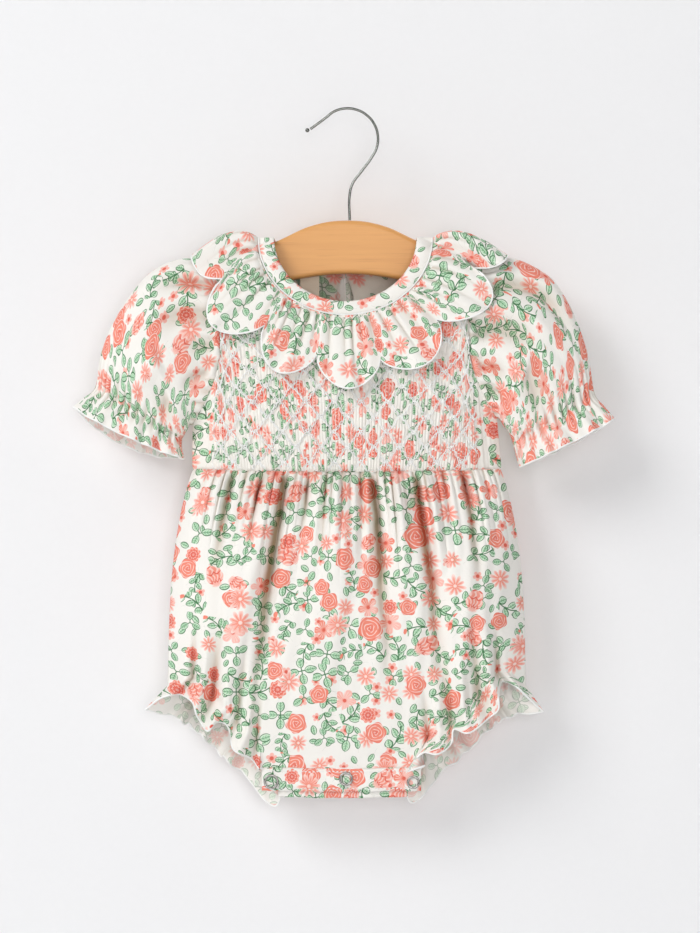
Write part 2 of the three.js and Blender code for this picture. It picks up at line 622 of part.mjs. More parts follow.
// A sleeve: rings from the armhole to the hem, gathered at the armhole and at the elastic
function addSleeve(side, sections) {
  const hole = ARMHOLE[side];
  const grid = [];
  for (let i = 0; i < SLEEVE_COLUMNS; i += 1) {
    const angle = (i / SLEEVE_COLUMNS) * Math.PI * 2;
    const face = angle < Math.PI ? 'front' : 'back';
    const sign = face === 'front' ? -1 : 1;
    const around = Math.abs(Math.sin(angle));
    const column = [];
    const start = armhole(side, (1 + Math.cos(angle)) / 2);
    const folded = i % (SLEEVE_COLUMNS / 2) === 0;
    const startDepth = folded ? 0 : bodiceDepth(start.x, start.z, face);
    const room = ARMHOLE_GAP + ARMPIT_ROOM * ((1 - Math.cos(angle)) / 2) ** ARMPIT_TURN;
    column.push(new THREE.Vector3(start.x + hole.sign * room, sign * startDepth, start.z));
    sections.forEach((row, n) => {
      const middleX = (row.outX + row.inX) / 2;
      const middleZ = (row.outZ + row.inZ) / 2;
      const length = Math.hypot(row.outX - row.inX, row.outZ - row.inZ) / 2;
      const inside = 1 - CLOTH / length;
      const reachX = inside * (row.outX - row.inX) / 2;
      const reachZ = inside * (row.outZ - row.inZ) / 2;
      const fromElastic = n + 1 - ELASTIC_ROW;
      const gathers = SLEEVE_GATHER_HEIGHT * Math.max(0, 1 - n / SLEEVE_GATHER_ROWS);
      const cuff = CUFF_WAVE_HEIGHT * Math.max(0, fromElastic / CUFF_ROWS);
      const ripple = gathers * Math.cos(angle * SLEEVE_GATHERS) + cuff * Math.cos(angle * CUFF_WAVES);
      const depth = row[face] * around ** SLEEVE_FULLNESS + ripple * around;
      const bowed = -row.bow[face] * around ** 2 * hole.sign;
      const x = middleX + reachX * Math.cos(angle) - bowed * reachZ / length;
      const z = middleZ + reachZ * Math.cos(angle) + bowed * reachX / length;
      column.push(new THREE.Vector3(x, sign * depth, z));
    });
    grid.push(column);
  }
  const outer = moved(grid, () => CLOTH, true, hole.sign, (i, j) => (j === 0 ? 'x' : null));
  add(`sleeve_${side}`, wall(outer, grid, true), 'cloth');
}

// Height of the body's gathers and folds over its smooth puff
function bodyFolds(face, share, fall) {
  const fade = Math.max(0, 1 - fall / BODY_GATHER_REACH) ** 1.3;
  const uneven = 0.7 + 0.3 * Math.sin(share * 41);
  const wave = Math.cos(share * Math.PI * 2 * BODY_GATHERS[face]);
  const gathers = wave * BODY_GATHER_HEIGHT * fade * uneven * clamp(fall / FOLD_START, 0.3, 1);
  let folds = 0;
  for (const fold of FOLDS) {
    const middle = fold.share + fold.drift * fall;
    const run = smooth(clamp(1 - fall / fold.reach, 0, 1)) * clamp(fall / FOLD_START, 0, 1);
    const at = face === 'front' ? share : 1 - share;
    folds += fold.height * run * bump(at - middle, fold.width * (1 + fall));
  }
  return gathers + folds;
}

// A body panel: columns from the waist seam to the elastic line and on to the hem
function addBody(face) {
  const { edge, columns, rows, puff, sign } = BODY[face];
  const grid = [];
  for (let i = 0; i <= columns; i += 1) {
    const share = i / columns;
    const waistX = lerp(BODICE[0].left, BODICE[0].right, share);
    const waist = waistZ(waistX) - SEAM_GAP;
    const waistDepth = bodiceDepth(waistX, waist, face);
    const at = (column) => look(edge, 'share', share, column);
    const across = share * 2 - 1;
    const fullness = pillow(across);
    const closed = i === 0 || i === columns;
    const leg = Math.sin(Math.PI * Math.min(share, 1 - share, LEG_PART) / LEG_PART);
    const column = [];
    for (let j = 0; j <= rows; j += 1) {
      const smoothRows = rows - RUFFLE_ROWS;
      const fall = Math.min(1, j / smoothRows) ** FALL_EARLY;
      const ruffle = Math.max(0, (j - smoothRows) / RUFFLE_ROWS);
      const swell = OUTLINE_SWELL * Math.sin(Math.PI * fall ** OUTLINE_SWELL_HIGH) * across;
      const x = lerp(lerp(waistX, at('x'), fall), at('hemX'), ruffle) + swell;
      const z = lerp(lerp(waist, at('z'), fall), at('hemZ'), ruffle);
      const smoothDepth = lerp(waistDepth, at('depth'), smooth(fall));
      const bulge = puff * fullness * Math.sin(Math.PI * fall ** BULGE_HIGH) ** BULGE_HIGH;
      const wave = LEG_WAVE_HEIGHT * Math.cos(share * Math.PI * 2 * LEG_WAVES) * ruffle * leg;
      const relief = closed ? 0 : bodyFolds(face, share, fall) * Math.min(1, fullness * 2) + wave;
      const depth = lerp(smoothDepth + bulge, at('hemDepth'), ruffle) + relief;
      column.push(new THREE.Vector3(x, sign * (closed ? SEAM_GAP / 2 : depth), z));
    }
    grid.push(column);
  }
  const held = (i, j) => (j === 0 || j === rows ? 'z' : null);
  add(`body_${face}`, wall(moved(grid, () => CLOTH, false, sign, held), grid, false), 'cloth');
}

// A crotch band with rounded ends: a flat outline drawn from the front and given a depth
function bandStrip({ left, right, top, bottom, y, thickness }) {
  const corner = PLACKET_CORNER;
  const strip = new THREE.Shape();
  strip.moveTo(left + corner, bottom);
  strip.lineTo(right - corner, bottom);
  strip.quadraticCurveTo(right, bottom, right, bottom + corner);
  strip.lineTo(right, top);
  strip.lineTo(left, top);
  strip.lineTo(left, bottom + corner);
  strip.quadraticCurveTo(left, bottom, left + corner, bottom);
  const extrusion = { depth: thickness, bevelEnabled: false, curveSegments: 3 };
  const geometry = new THREE.ExtrudeGeometry(strip, extrusion);
  geometry.rotateX(Math.PI / 2);
  geometry.translate(0, y, 0);
  return geometry;
}

function addPlackets() {
  add('placket_front', bandStrip(PLACKETS.front), 'band');
  add('placket_back', bandStrip(PLACKETS.back), 'band');
}

// Open-ring snap caps on the front band
function addSnaps() {
  const faceY = PLACKETS.front.y - PLACKETS.front.thickness - SEAM_GAP;
  for (const snap of SNAPS) {
    const inner = snap.outer - SNAP_WALL;
    const shoulder = SNAP_HEIGHT - SNAP_EDGE;
    const profile = [
      new THREE.Vector2(inner, 0), new THREE.Vector2(snap.outer, 0),
      new THREE.Vector2(snap.outer, shoulder), new THREE.Vector2(snap.outer - SNAP_EDGE, SNAP_HEIGHT),
      new THREE.Vector2(inner + SNAP_EDGE, SNAP_HEIGHT), new THREE.Vector2(inner, shoulder),
      new THREE.Vector2(inner, 0),
    ];
    const ring = new THREE.LatheGeometry(profile, 16);
    ring.rotateX(Math.PI);
    ring.translate(snap.x, faceY, snap.z);
    add(snap.name, ring, 'snap');
  }
}

// The bare label, laid on the inside of the back panel below the neck seam
function addLabel() {
  const grid = [];
  for (let i = 0; i <= LABEL.columns; i += 1) {
    const column = [];
    for (let j = 0; j <= LABEL.rows; j += 1) {
      const x = lerp(LABEL.left, LABEL.right, i / LABEL.columns);
      const z = lerp(LABEL.bottom, LABEL.top, j / LABEL.rows);
      column.push(new THREE.Vector3(x, bodiceDepth(x, z, 'back') - LABEL.clear, z));
    }
    grid.push(column);
  }
  add('neck_label', wall(moved(grid, () => LABEL.thickness, false, 1), grid, false), 'label');
}

// A small shank button on one end of the band and a thread loop from the other end
function addClosing() {
  const { x, z, radius, under, crown, shank, rise, rim, top } = BUTTON;
  const surface = neckPoint(0.75, NECK.halfWidth, NECK.drop, BAND).y + SEAM_GAP;
  const profile = [
    new THREE.Vector2(0, 0), new THREE.Vector2(shank, 0), new THREE.Vector2(shank, rise),
    new THREE.Vector2(under, rise), new THREE.Vector2(radius, rim),
    new THREE.Vector2(crown, top), new THREE.Vector2(0, top),
  ];
  const button = new THREE.LatheGeometry(profile, 16);
  button.translate(x, surface, z);
  add('back_button', button, 'pearl');
  const y = surface + LOOP.radius;
  const turn = shank + LOOP.radius + SEAM_GAP;
  const path = new THREE.CatmullRomCurve3([
    new THREE.Vector3(LOOP.start, y, z + LOOP.spread),
    new THREE.Vector3(x - LOOP.curve, y, z + turn),
    new THREE.Vector3(x, y, z + turn),
    new THREE.Vector3(x + turn, y, z),
    new THREE.Vector3(x, y, z - turn),
    new THREE.Vector3(x - LOOP.curve, y, z - turn),
    new THREE.Vector3(LOOP.start, y, z - LOOP.spread),
  ]);
  const section = new THREE.Shape();
  section.absarc(0, 0, LOOP.radius, 0, Math.PI * 2, false);
  const loop = new THREE.ExtrudeGeometry(section, {
    steps: LOOP.steps, curveSegments: 3, extrudePath: path, bevelEnabled: false,
  });
  add('back_loop', loop, 'band');
}

// The board of the hanger, an arched outline with rounded edges
function addHanger() {
  const points = [];
  const mirrored = (rows) => rows.filter((row) => row.x > 0).map((row) => ({ x: -row.x, z: row.z })).reverse();
  const outline = [...mirrored(WOOD_TOP), ...WOOD_TOP, ...WOOD_BOTTOM, ...mirrored(WOOD_BOTTOM)];
  for (const { x, z } of outline) points.push(new THREE.Vector2(x, z));
  const board = new THREE.Shape(points);
  const bevel = { bevelThickness: WOOD.round, bevelSize: WOOD.round, bevelOffset: -WOOD.round, bevelSegments: 3 };
  const depth = WOOD.depth - 2 * WOOD.round;
  const geometry = new THREE.ExtrudeGeometry(board, { depth, bevelEnabled: true, ...bevel });
  geometry.rotateX(Math.PI / 2);
  geometry.translate(0, depth / 2, 0);
  add('hanger_arch', geometry, 'wood');
}

// The hook: an arc over the rail, a bend back to the middle and a stem down to the wood
function hookCurve() {
  const at = ({ x, z }) => new THREE.Vector3(x, 0, z);
  const arc = Array.from({ length: HOOK.steps + 1 }, (empty, step) => {
    const angle = THREE.MathUtils.degToRad(lerp(HOOK.from, HOOK.to, step / HOOK.steps));
    return at({ x: HOOK.radius * Math.cos(angle), z: HOOK.z + HOOK.radius * Math.sin(angle) });
  });
  return new THREE.CatmullRomCurve3([at(HOOK_END), ...arc, ...HOOK_STEM.map(at)]);
}

function addHook() {
  const curve = hookCurve();
  const section = new THREE.Shape();
  section.absarc(0, 0, WIRE.radius, 0, Math.PI * 2, false);
  const wire = new THREE.ExtrudeGeometry(section, {
    steps: WIRE.steps, curveSegments: WIRE.sides / 2, extrudePath: curve, bevelEnabled: false,
  });
  add('hook_wire', wire, 'wire');
  const tip = new THREE.SphereGeometry(HOOK_END.ball, 10, 7);
  const away = curve.getTangent(0).multiplyScalar(-HOOK_END.reach);
  tip.translate(HOOK_END.x + away.x, 0, HOOK_END.z + away.z);
  add('hook_tip', tip, 'wire');
}

addHanger();
addHook();
addBodice();
addNeckband();
addCollar();
addSleeve('left', SLEEVE_LEFT);
addSleeve('right', SLEEVE_RIGHT);
addBody('front');
addBody('back');
addPlackets();
addSnaps();
addLabel();
addClosing();

export default group;
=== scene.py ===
# %% [markdown]
# A baby romper on its wooden hanger, dressed for a studio picture.
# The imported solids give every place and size. This lesson lays thin cloth shells on the
# same form, sews them with visible edges and threads, prints the cloth and lights it.

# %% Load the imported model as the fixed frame
import math

import bpy
import numpy as np
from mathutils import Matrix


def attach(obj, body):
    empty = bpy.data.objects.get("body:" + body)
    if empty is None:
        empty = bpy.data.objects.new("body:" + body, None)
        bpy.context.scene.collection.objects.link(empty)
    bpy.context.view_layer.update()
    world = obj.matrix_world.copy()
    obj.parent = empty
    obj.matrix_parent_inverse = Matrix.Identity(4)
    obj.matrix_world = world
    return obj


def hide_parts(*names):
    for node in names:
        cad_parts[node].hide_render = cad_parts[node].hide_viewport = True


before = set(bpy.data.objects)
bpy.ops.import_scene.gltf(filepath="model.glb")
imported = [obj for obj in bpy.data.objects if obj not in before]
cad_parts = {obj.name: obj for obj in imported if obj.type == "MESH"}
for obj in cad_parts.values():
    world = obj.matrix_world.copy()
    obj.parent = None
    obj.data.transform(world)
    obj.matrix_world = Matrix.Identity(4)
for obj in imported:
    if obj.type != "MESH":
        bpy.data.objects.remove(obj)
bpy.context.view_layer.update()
bpy.ops.object.select_all(action="DESELECT")
print("nodes in the frame:", len(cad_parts))

# %% [markdown]
# All sizes below are in millimetres, because a maker cuts cloth in millimetres. Blender
# works in metres, so one constant turns them at the moment a mesh is made. A table is a
# list of rows whose numbers are read by the name of their column.

# %% Sizes that the pieces share
MM = 0.001
SEAM_GAP = 0.3
CLOTH = 0.8
SHELL_LIFT = 1.1

NECK = {
    "x": -1.4, "z": -84, "half": 56.4, "inner_half": 46.1,
    "drop": {"front": 50, "back": 14}, "inner_drop": {"front": 41.2, "back": 7},
}
NECK_CLEAR = 0.8
CROSSING = 0.06
CROSSING_DEPTH = 9.2
SHOULDER = {"x": 57.5, "z": -86.6, "slope": 0.52, "round": 12}
WAIST = {"z": -235.3, "rise": 1.8, "half": 99, "left": -99.7, "right": 98.9}


def table(names, *rows):
    """Rows of numbers under named columns."""
    return [dict(zip(names.split(), row)) for row in rows]


BODICE = table(
    "z left right front back",
    (-236, -99.7, 98.9, 17, 13),
    (-204, -99.4, 96.4, 19, 14.5),
    (-199, -102.5, 95.6, 19, 14.5),
    (-185, -115, 108, 19, 14.5),
    (-160, -136, 131, 18.5, 14.5),
    (-60, -136, 131, 15, 13),
)
ARMHOLE = {
    "left": {"edge": -82, "pit_x": -99.5, "pit_z": -203.6, "sign": -1},
    "right": {"edge": 78, "pit_x": 95.7, "pit_z": -199.2, "sign": 1},
}
ARMHOLE_FLARE = 0.45
ARMHOLE_GAP = 0.9
ARMHOLE_SHARE = {"front": 0.18, "back": 0.2}
NECK_SHARE = {"front": 0.26, "back": 0.3}
FLARE_SHARE = 0.6
FACE_SIGN = {"front": -1, "back": 1}
print("neck is", 2 * NECK["half"], "mm wide")

# %% [markdown]
# Short tables describe outlines and folds. A smooth curve through the rows of a table
# keeps the outline soft, as cloth is, where straight pieces would show corners.

# %% Helpers that read tables and blend values
def column(rows, name):
    return np.array([row[name] for row in rows], dtype=float)


def curve(t, low, high, low_lean, high_lean):
    """A smooth curve from low to high that starts and ends with the given leans."""
    rise = (2 * t**3 - 3 * t**2 + 1) * low + (3 * t**2 - 2 * t**3) * high
    return rise + (t**3 - 2 * t**2 + t) * low_lean + (t**3 - t**2) * high_lean


def along(rows, key, name, at):
    """Smooth value of one column of a table at a place along its key column."""
    keys = column(rows, key)
    values = column(rows, name)
    slopes = np.gradient(values, keys)
    at = np.asarray(at, dtype=float)
    row = np.clip(np.searchsorted(keys, at, side="right") - 1, 0, len(keys) - 2)
    span = keys[row + 1] - keys[row]
    t = np.clip((at - keys[row]) / span, 0, 1)
    leans = span * slopes[row], span * slopes[row + 1]
    return curve(t, values[row], values[row + 1], *leans)


def straight(rows, key, name, at):
    return np.interp(at, column(rows, key), column(rows, name))


def mix(low, high, share):
    return low + (high - low) * share


def ease(share):
    share = np.clip(share, 0, 1)
    return share * share * (3 - 2 * share)


def hump(distance, width):
    return np.exp(-((distance / width) ** 2))


def uneven(value, seed):
    """A slow, repeatable wobble between about -1 and 1."""
    first = np.sin(value * 1.7 + seed * 2.3) * 0.5
    second = np.sin(value * 3.1 + seed * 5.1) * 0.3
    return first + second + np.sin(value * 7.3 + seed) * 0.2


print("ease of a half:", float(ease(0.5)))

# %% [markdown]
# A flat garment is like a pillowcase: deepest in the middle and closed at its side seams.
# One function gives that depth for the whole bodice, so the panels, the neckband and the
# collar all lie on the same surface.

# %% The surface of the bodice
def pillow(share):
    return (1 - np.minimum(1, np.abs(share)) ** 3) ** 0.7


def shoulder_z(x):
    return SHOULDER["z"] - SHOULDER["slope"] * (np.abs(x) - SHOULDER["x"])


def bodice_depth(x, z, face):
    left = straight(BODICE, "z", "left", z)
    right = straight(BODICE, "z", "right", z)
    drop = np.clip((shoulder_z(x) - z) / SHOULDER["round"], 0, 1)
    roof = np.sqrt(1 - (1 - drop) ** 2)
    share = (x - (left + right) / 2) / ((right - left) / 2)
    return SEAM_GAP / 2 + straight(BODICE, "z", face, z) * pillow(share) * roof


def waist_z(x):
    return WAIST["z"] + WAIST["rise"] * (x / WAIST["half"]) ** 2


def armhole(side, share):
    hole = ARMHOLE[side]
    top = shoulder_z(hole["edge"])
    flare = np.maximum(0, 1 - share / ARMHOLE_FLARE) ** 1.7
    return mix(hole["edge"], hole["pit_x"], flare), mix(hole["pit_z"], top, share)


print("front stands", round(float(bodice_depth(0, -180, "front")), 1), "mm out at the chest")

# %% [markdown]
# A sheet of cloth is a grid of points. Its second set of numbers, the UV map, says where
# each point lay on the flat cloth before it was sewn, so the print follows folds and
# gathers by itself. First the grid has to know which way it faces.

# %% Directions of a grid of points
def grid_normals(points, tube):
    if tube:
        ring = points[:-1]
        across = np.roll(ring, -1, axis=0) - np.roll(ring, 1, axis=0)
        across = np.concatenate([across, across[:1]])
    else:
        across = np.gradient(points, axis=0)
    down = np.gradient(points, axis=1)
    normal = np.cross(across, down)
    length = np.linalg.norm(normal, axis=2, keepdims=True)
    return normal / np.maximum(length, 1e-9)


def outward(points, face):
    """The normals of a grid, all turned so that they look out of the garment."""
    tube = face == "tube"
    normal = grid_normals(points, tube)
    if tube:
        out = points - points[:-1].mean(axis=0, keepdims=True)
    else:
        out = np.array([0, FACE_SIGN[face], 0.2])
    return normal * (1 if (normal * out).sum() >= 0 else -1)


def lifted(points, height, face):
    return points + outward(points, face) * np.asarray(height)[..., None]


def quads_of(number):
    corners = [number[:-1, :-1], number[1:, :-1], number[1:, 1:], number[:-1, 1:]]
    return np.stack(corners, axis=-1).reshape(-1, 4)


print("a grid knows which way it faces")

# %% [markdown]
# The mesh of a sheet joins each four neighbouring points by a face. A tube, such as a
# sleeve, also joins its last column to its first, and faces can be left out for an
# opening. Solidify then gives the sheet its thickness.

# %% Make a sheet from a grid
def sheet_mesh(name, points, flat, face, left_out=None, shade=None):
    """A mesh of four-sided faces that look outward, with the flat cloth as its UV map."""
    across, down = points.shape[:2]
    number = np.arange(across * down).reshape(across, down)
    shared = number.copy()
    if face == "tube":
        shared[-1] = shared[0]
    quads = quads_of(shared)
    places = quads_of(number)
    if left_out is not None:
        quads = quads[~left_out.ravel()]
        places = places[~left_out.ravel()]
    normal = grid_normals(points, face == "tube")
    if (normal * outward(points, face)).sum() < 0:
        quads = quads[:, ::-1]
        places = places[:, ::-1]
    used = points[:-1] if face == "tube" else points
    mesh = bpy.data.meshes.new(name)
    mesh.from_pydata((used.reshape(-1, 3) * MM).tolist(), [], quads.tolist())
    layer = mesh.uv_layers.new(name="flat_cloth")
    layer.uv.foreach_set("vector", (flat.reshape(-1, 2)[places.ravel()] * MM).astype(np.float32).ravel())
    if shade is not None:
        depth = mesh.attributes.new("fold_shade", "FLOAT", "POINT")
        kept = shade[:-1] if face == "tube" else shade
        depth.data.foreach_set("value", np.clip(kept, 0, 1).astype(np.float32).ravel())
    mesh.shade_smooth()
    piece = bpy.data.objects.new(name, mesh)
    bpy.context.scene.collection.objects.link(piece)
    return piece


def only(piece):
    bpy.ops.object.select_all(action="DESELECT")
    piece.select_set(True)
    bpy.context.view_layer.objects.active = piece


def thicken(piece, thickness):
    """Solid cloth; its inner side takes the second material."""
    piece.data.materials.append(None)
    piece.data.materials.append(None)
    only(piece)
    bpy.ops.object.modifier_add(type="SOLIDIFY")
    piece.modifiers[-1].thickness = thickness * MM
    piece.modifiers[-1].offset = 0
    piece.modifiers[-1].material_offset = 1
    bpy.ops.object.modifier_apply(modifier=piece.modifiers[-1].name)
    return piece


print("sheets can be made and thickened")

# %% [markdown]
# The flat map is worked out from the lengths between neighbouring points, as if a tape
# measure were laid along the cloth.

# %% Lay the cloth out flat
def lengths(points, axis):
    """Length of cloth from the first point of each row or column to each of its points."""
    steps = np.linalg.norm(np.diff(points, axis=axis), axis=2)
    total = np.cumsum(steps, axis=axis)
    return np.concatenate([np.zeros_like(np.take(total, [0], axis=axis)), total], axis=axis)


DEPTH_COUNTED = 0.35


def flat_place(points, wide_row):
    """Flat cloth under a panel: down to its widest row the columns follow its grain.

    Only a share of the depth of folds counts, or the print would run into streaks.
    """
    upright = points * [0, 0, 1]
    across = lengths(points * [1, DEPTH_COUNTED, 0], 0)
    across = across - across[points.shape[0] // 2]
    below = np.arange(points.shape[1]) > wide_row
    across = np.where(below, across, across[:, wide_row:wide_row + 1])
    return np.stack([across, -lengths(upright, 1)], axis=-1)


def flat_tube(points, wide_row):
    """Flat cloth under a sleeve: its widest ring gives the width, its middle the length."""
    across = np.repeat(lengths(points, 0)[:, wide_row:wide_row + 1], points.shape[1], axis=1)
    down = lengths(points, 1)
    return np.stack([across, mix(down, down.mean(axis=0, keepdims=True), 0.5)], axis=-1)


print("a sheet is a grid of points with a flat place for each of them")

# %% [markdown]
# Threads, rolled edges and piping are all thin round cords that follow a line. One
# function builds any number of them as a single mesh.

# %% Build round cords along lines
def cord_mesh(name, paths, radius, sides=6):
    spots = []
    faces = []
    total = 0
    turn = np.arange(sides) * 2 * math.pi / sides
    for path in paths:
        path = np.asarray(path, dtype=float)
        along_path = np.gradient(path, axis=0)
        along_path /= np.maximum(np.linalg.norm(along_path, axis=1, keepdims=True), 1e-9)
        side = np.cross(along_path, [0.02, 1.0, 0.05])
        side /= np.maximum(np.linalg.norm(side, axis=1, keepdims=True), 1e-9)
        rise = np.cross(side, along_path)
        ring = side[:, None] * np.cos(turn)[None, :, None] + rise[:, None] * np.sin(turn)[None, :, None]
        spots.append((path[:, None] + ring * radius).reshape(-1, 3))
        number = total + np.arange(len(path) * sides).reshape(len(path), sides)
        wrapped = np.concatenate([number, number[:, :1]], axis=1)
        faces.append(quads_of(wrapped))
        total += len(path) * sides
    mesh = bpy.data.meshes.new(name)
    mesh.from_pydata((np.concatenate(spots) * MM).tolist(), [], np.concatenate(faces).tolist())
    mesh.shade_smooth()
    piece = bpy.data.objects.new(name, mesh)
    bpy.context.scene.collection.objects.link(piece)
    only(piece)
    bpy.ops.object.mode_set(mode="EDIT")
    bpy.ops.mesh.select_all(action="SELECT")
    bpy.ops.mesh.normals_make_consistent(inside=False)
    bpy.ops.object.mode_set(mode="OBJECT")
    return piece


print("cords are ready to be laid")

# %% [markdown]
# The upper edge of a bodice panel runs from the side seam up the armhole, along the
# shoulder and down into the neck. Every column of the panel ends on that edge.

# %% The grid of a bodice panel
def bodice_top(share, face):
    from_side = np.minimum(share, 1 - share)
    left = share < 0.5
    arm_end = ARMHOLE_SHARE[face]
    seam_end = NECK_SHARE[face]
    half = NECK["half"] + NECK_CLEAR
    up = from_side / arm_end
    flare = ARMHOLE_FLARE * np.minimum(1, up / FLARE_SHARE)
    upright = (1 - ARMHOLE_FLARE) * np.maximum(0, (up - FLARE_SHARE) / (1 - FLARE_SHARE))
    left_x, left_z = armhole("left", flare + upright)
    right_x, right_z = armhole("right", flare + upright)
    arm_x = np.where(left, left_x, right_x)
    arm_z = np.where(left, left_z, right_z)
    seam_share = (from_side - arm_end) / (seam_end - arm_end)
    seam_x = np.where(
        left,
        mix(ARMHOLE["left"]["edge"], NECK["x"] - half, seam_share),
        mix(ARMHOLE["right"]["edge"], NECK["x"] + half, seam_share),
    )
    neck_share = np.clip((share - seam_end) / (1 - 2 * seam_end), 0, 1)
    neck_x = mix(NECK["x"] - half, NECK["x"] + half, neck_share)
    away = np.sqrt(np.maximum(0, 1 - ((neck_x - NECK["x"]) / half) ** 2))
    neck_z = np.minimum(shoulder_z(neck_x), NECK["z"] - SEAM_GAP - NECK["drop"][face] * away)
    on_arm = from_side < arm_end
    on_seam = from_side < seam_end
    x = np.where(on_arm, arm_x, np.where(on_seam, seam_x, neck_x))
    z = np.where(on_arm, arm_z, np.where(on_seam, shoulder_z(seam_x), neck_z))
    return x, z


def bodice_grid(face, columns, rows):
    share = np.linspace(0, 1, columns + 1)[:, None]
    rise = np.linspace(0, 1, rows + 1)[None, :]
    waist_x = mix(WAIST["left"], WAIST["right"], share)
    top_x, top_z = bodice_top(share, face)
    x = mix(waist_x, top_x, rise)
    z = mix(waist_z(waist_x), top_z, rise)
    y = FACE_SIGN[face] * bodice_depth(x, z, face)
    return np.stack([x, y, z], axis=-1), share, rise


FRONT_GRID = (592, 130)
BACK_GRID = (180, 60)
front_base, front_share = bodice_grid("front", *FRONT_GRID)[:2]
back_base, back_share, back_rise = bodice_grid("back", *BACK_GRID)
print("front grid:", front_base.shape, "back grid:", back_base.shape)

# %% [markdown]
# Smocking is embroidery over gathers. The cloth is first drawn up into narrow upright
# pleats, and white thread is then worked over the pleats in a lattice, so each diamond of
# cloth puffs out between its stitches. The pleats are a row of round ridges here, and the
# lattice presses them down along its lines. Cloth that a valley hides still has its place
# on the flat map, so the print is broken up by the pleats as on the real thing.

# %% Pleats and the lattice that holds them
PLEATS = 92
PLEAT_HEIGHT = 1.3
PLEAT_ROUND = 0.7
HELD = {"share": 0.55, "width": 1.3}
PUFF = {"height": 0.8, "reach": 4}
PUCKER = 0.22
MARGIN_FADE = 0.012
WAIST_DIP = 0.7
SMOCK_EDGE = {"left": 0.062, "right": 0.927}
LATTICE = {"width": 16.2, "step": 9.75, "bottom": -238.5, "threads": 14}
SMOCK_FULLNESS = 2
VALLEY_SHARE = 0.26
FRONT_CUT_PLACE = 400


def smock_share(share):
    return (share - SMOCK_EDGE["left"]) / (SMOCK_EDGE["right"] - SMOCK_EDGE["left"])


def smock_inside(share):
    inner = smock_share(share)
    return ease(inner / MARGIN_FADE) * ease((1 - inner) / MARGIN_FADE)


def lattice_z(thread, x):
    swing = (x / LATTICE["width"] + thread / 2) % 1
    rise = 1 - np.abs(2 * swing - 1)
    wave = mix(rise, ease(rise), 0.6) + 0.05 * uneven(x * 0.6, thread)
    return LATTICE["bottom"] + LATTICE["step"] * (thread + wave)


def smock_height(share, x, z):
    pleat = smock_share(share) * PLEATS + 0.12 * uneven(z * 0.11, 1) + 0.1 * uneven(z * 0.05 + x, 2)
    ridge = np.abs(np.sin(math.pi * pleat)) ** PLEAT_ROUND
    nearest = np.full(np.broadcast(x, z).shape, np.inf)
    for thread in range(LATTICE["threads"]):
        nearest = np.minimum(nearest, np.abs(z - lattice_z(thread, x)))
    held = 1 - HELD["share"] * hump(nearest, HELD["width"])
    puff = PUFF["height"] * ease(nearest / PUFF["reach"])
    size = 0.8 + 0.2 * uneven(np.floor(pleat), 4)
    pucker = PUCKER * uneven(z * 0.9 + 3 * np.floor(pleat), 6) * ridge
    return (PLEAT_HEIGHT * ridge * held * size + puff + pucker) * smock_inside(share)


print("lattice lines:", LATTICE["threads"])

# %% [markdown]
# The front panel is its smooth surface, lifted by the pleats. Its margins beside the
# armholes stay plain, and the waist seam presses a groove along its lower edge.

# %% The smocked front panel
front_height = smock_height(front_share, front_base[..., 0], front_base[..., 2])
margin_fold = 0.5 * uneven(front_share * 60, 3) * (1 - smock_inside(front_share))
waist_dip = hump(front_base[..., 2] - waist_z(front_base[..., 0]), 1.4)
front_lift = SHELL_LIFT + front_height * (1 - 0.5 * waist_dip) + margin_fold - WAIST_DIP * waist_dip
front_points = lifted(front_base, front_lift, "front")
pleat_place = smock_share(front_share[:, 0]) * PLEATS
in_valley = np.abs(((pleat_place + 0.5) % 1) - 0.5) < VALLEY_SHARE / 2
inside = smock_inside(front_share[:, 0])
hidden = (SMOCK_FULLNESS - 1) / max(in_valley.mean(), 0.05) * in_valley
density = 1 + hidden * inside
flat_across = np.cumsum(density) * (WAIST["right"] - WAIST["left"]) / len(density)
front_flat = np.stack(np.broadcast_arrays(
    flat_across[:, None], front_base[..., 2] + FRONT_CUT_PLACE
), axis=-1)
bodice_front = sheet_mesh("smocked_front", front_points, front_flat, "front")
crest = np.clip((np.abs(((pleat_place + 0.5) % 1) - 0.5) - 0.01) / 0.1, 0, 1)
crest = np.where(inside > 0.5, crest, 1)[:, None]
broken = 0.95 + 0.22 * uneven(front_base[..., 2] * 0.8 + 5 * np.floor(pleat_place)[:, None], 2)
printed = bodice_front.data.attributes.new("printed", "FLOAT", "POINT")
printed.data.foreach_set("value", (crest * broken).astype(np.float32).ravel())
print("pleats:", PLEATS, "faces:", len(bodice_front.data.polygons))

# %% [markdown]
# The lattice threads lie on the finished pleats. Each one is read off the same grid, so it
# dips between the pleats as real thread does, and it stops just short of the panel's
# edges. Two strands wander side by side, with a stitch's jog every few millimetres.

# %% Lattice threads
THREAD_RADIUS = 0.33
THREAD_LIFT = 0.45
THREAD_WANDER = 0.85
THREAD_ENDS = {"low": 0.004, "high": 0.97}
STRAND_GAP = 0.6
STITCH_STEP = 0.55
STITCH_LENGTH = 2.3
POINTS_PER_PLEAT = 4


def on_grid(points, share, rise):
    """A point of the grid at a share of its width and height, mixed from its neighbours."""
    columns, rows = points.shape[0] - 1, points.shape[1] - 1
    i = np.clip(share * columns, 0, columns - 1e-6)
    j = np.clip(rise * rows, 0, rows - 1e-6)
    low_i, low_j = i.astype(int), j.astype(int)
    a, b = (i - low_i)[:, None], (j - low_j)[:, None]
    near = mix(points[low_i, low_j], points[low_i + 1, low_j], a)
    far = mix(points[low_i, low_j + 1], points[low_i + 1, low_j + 1], a)
    return mix(near, far, b)


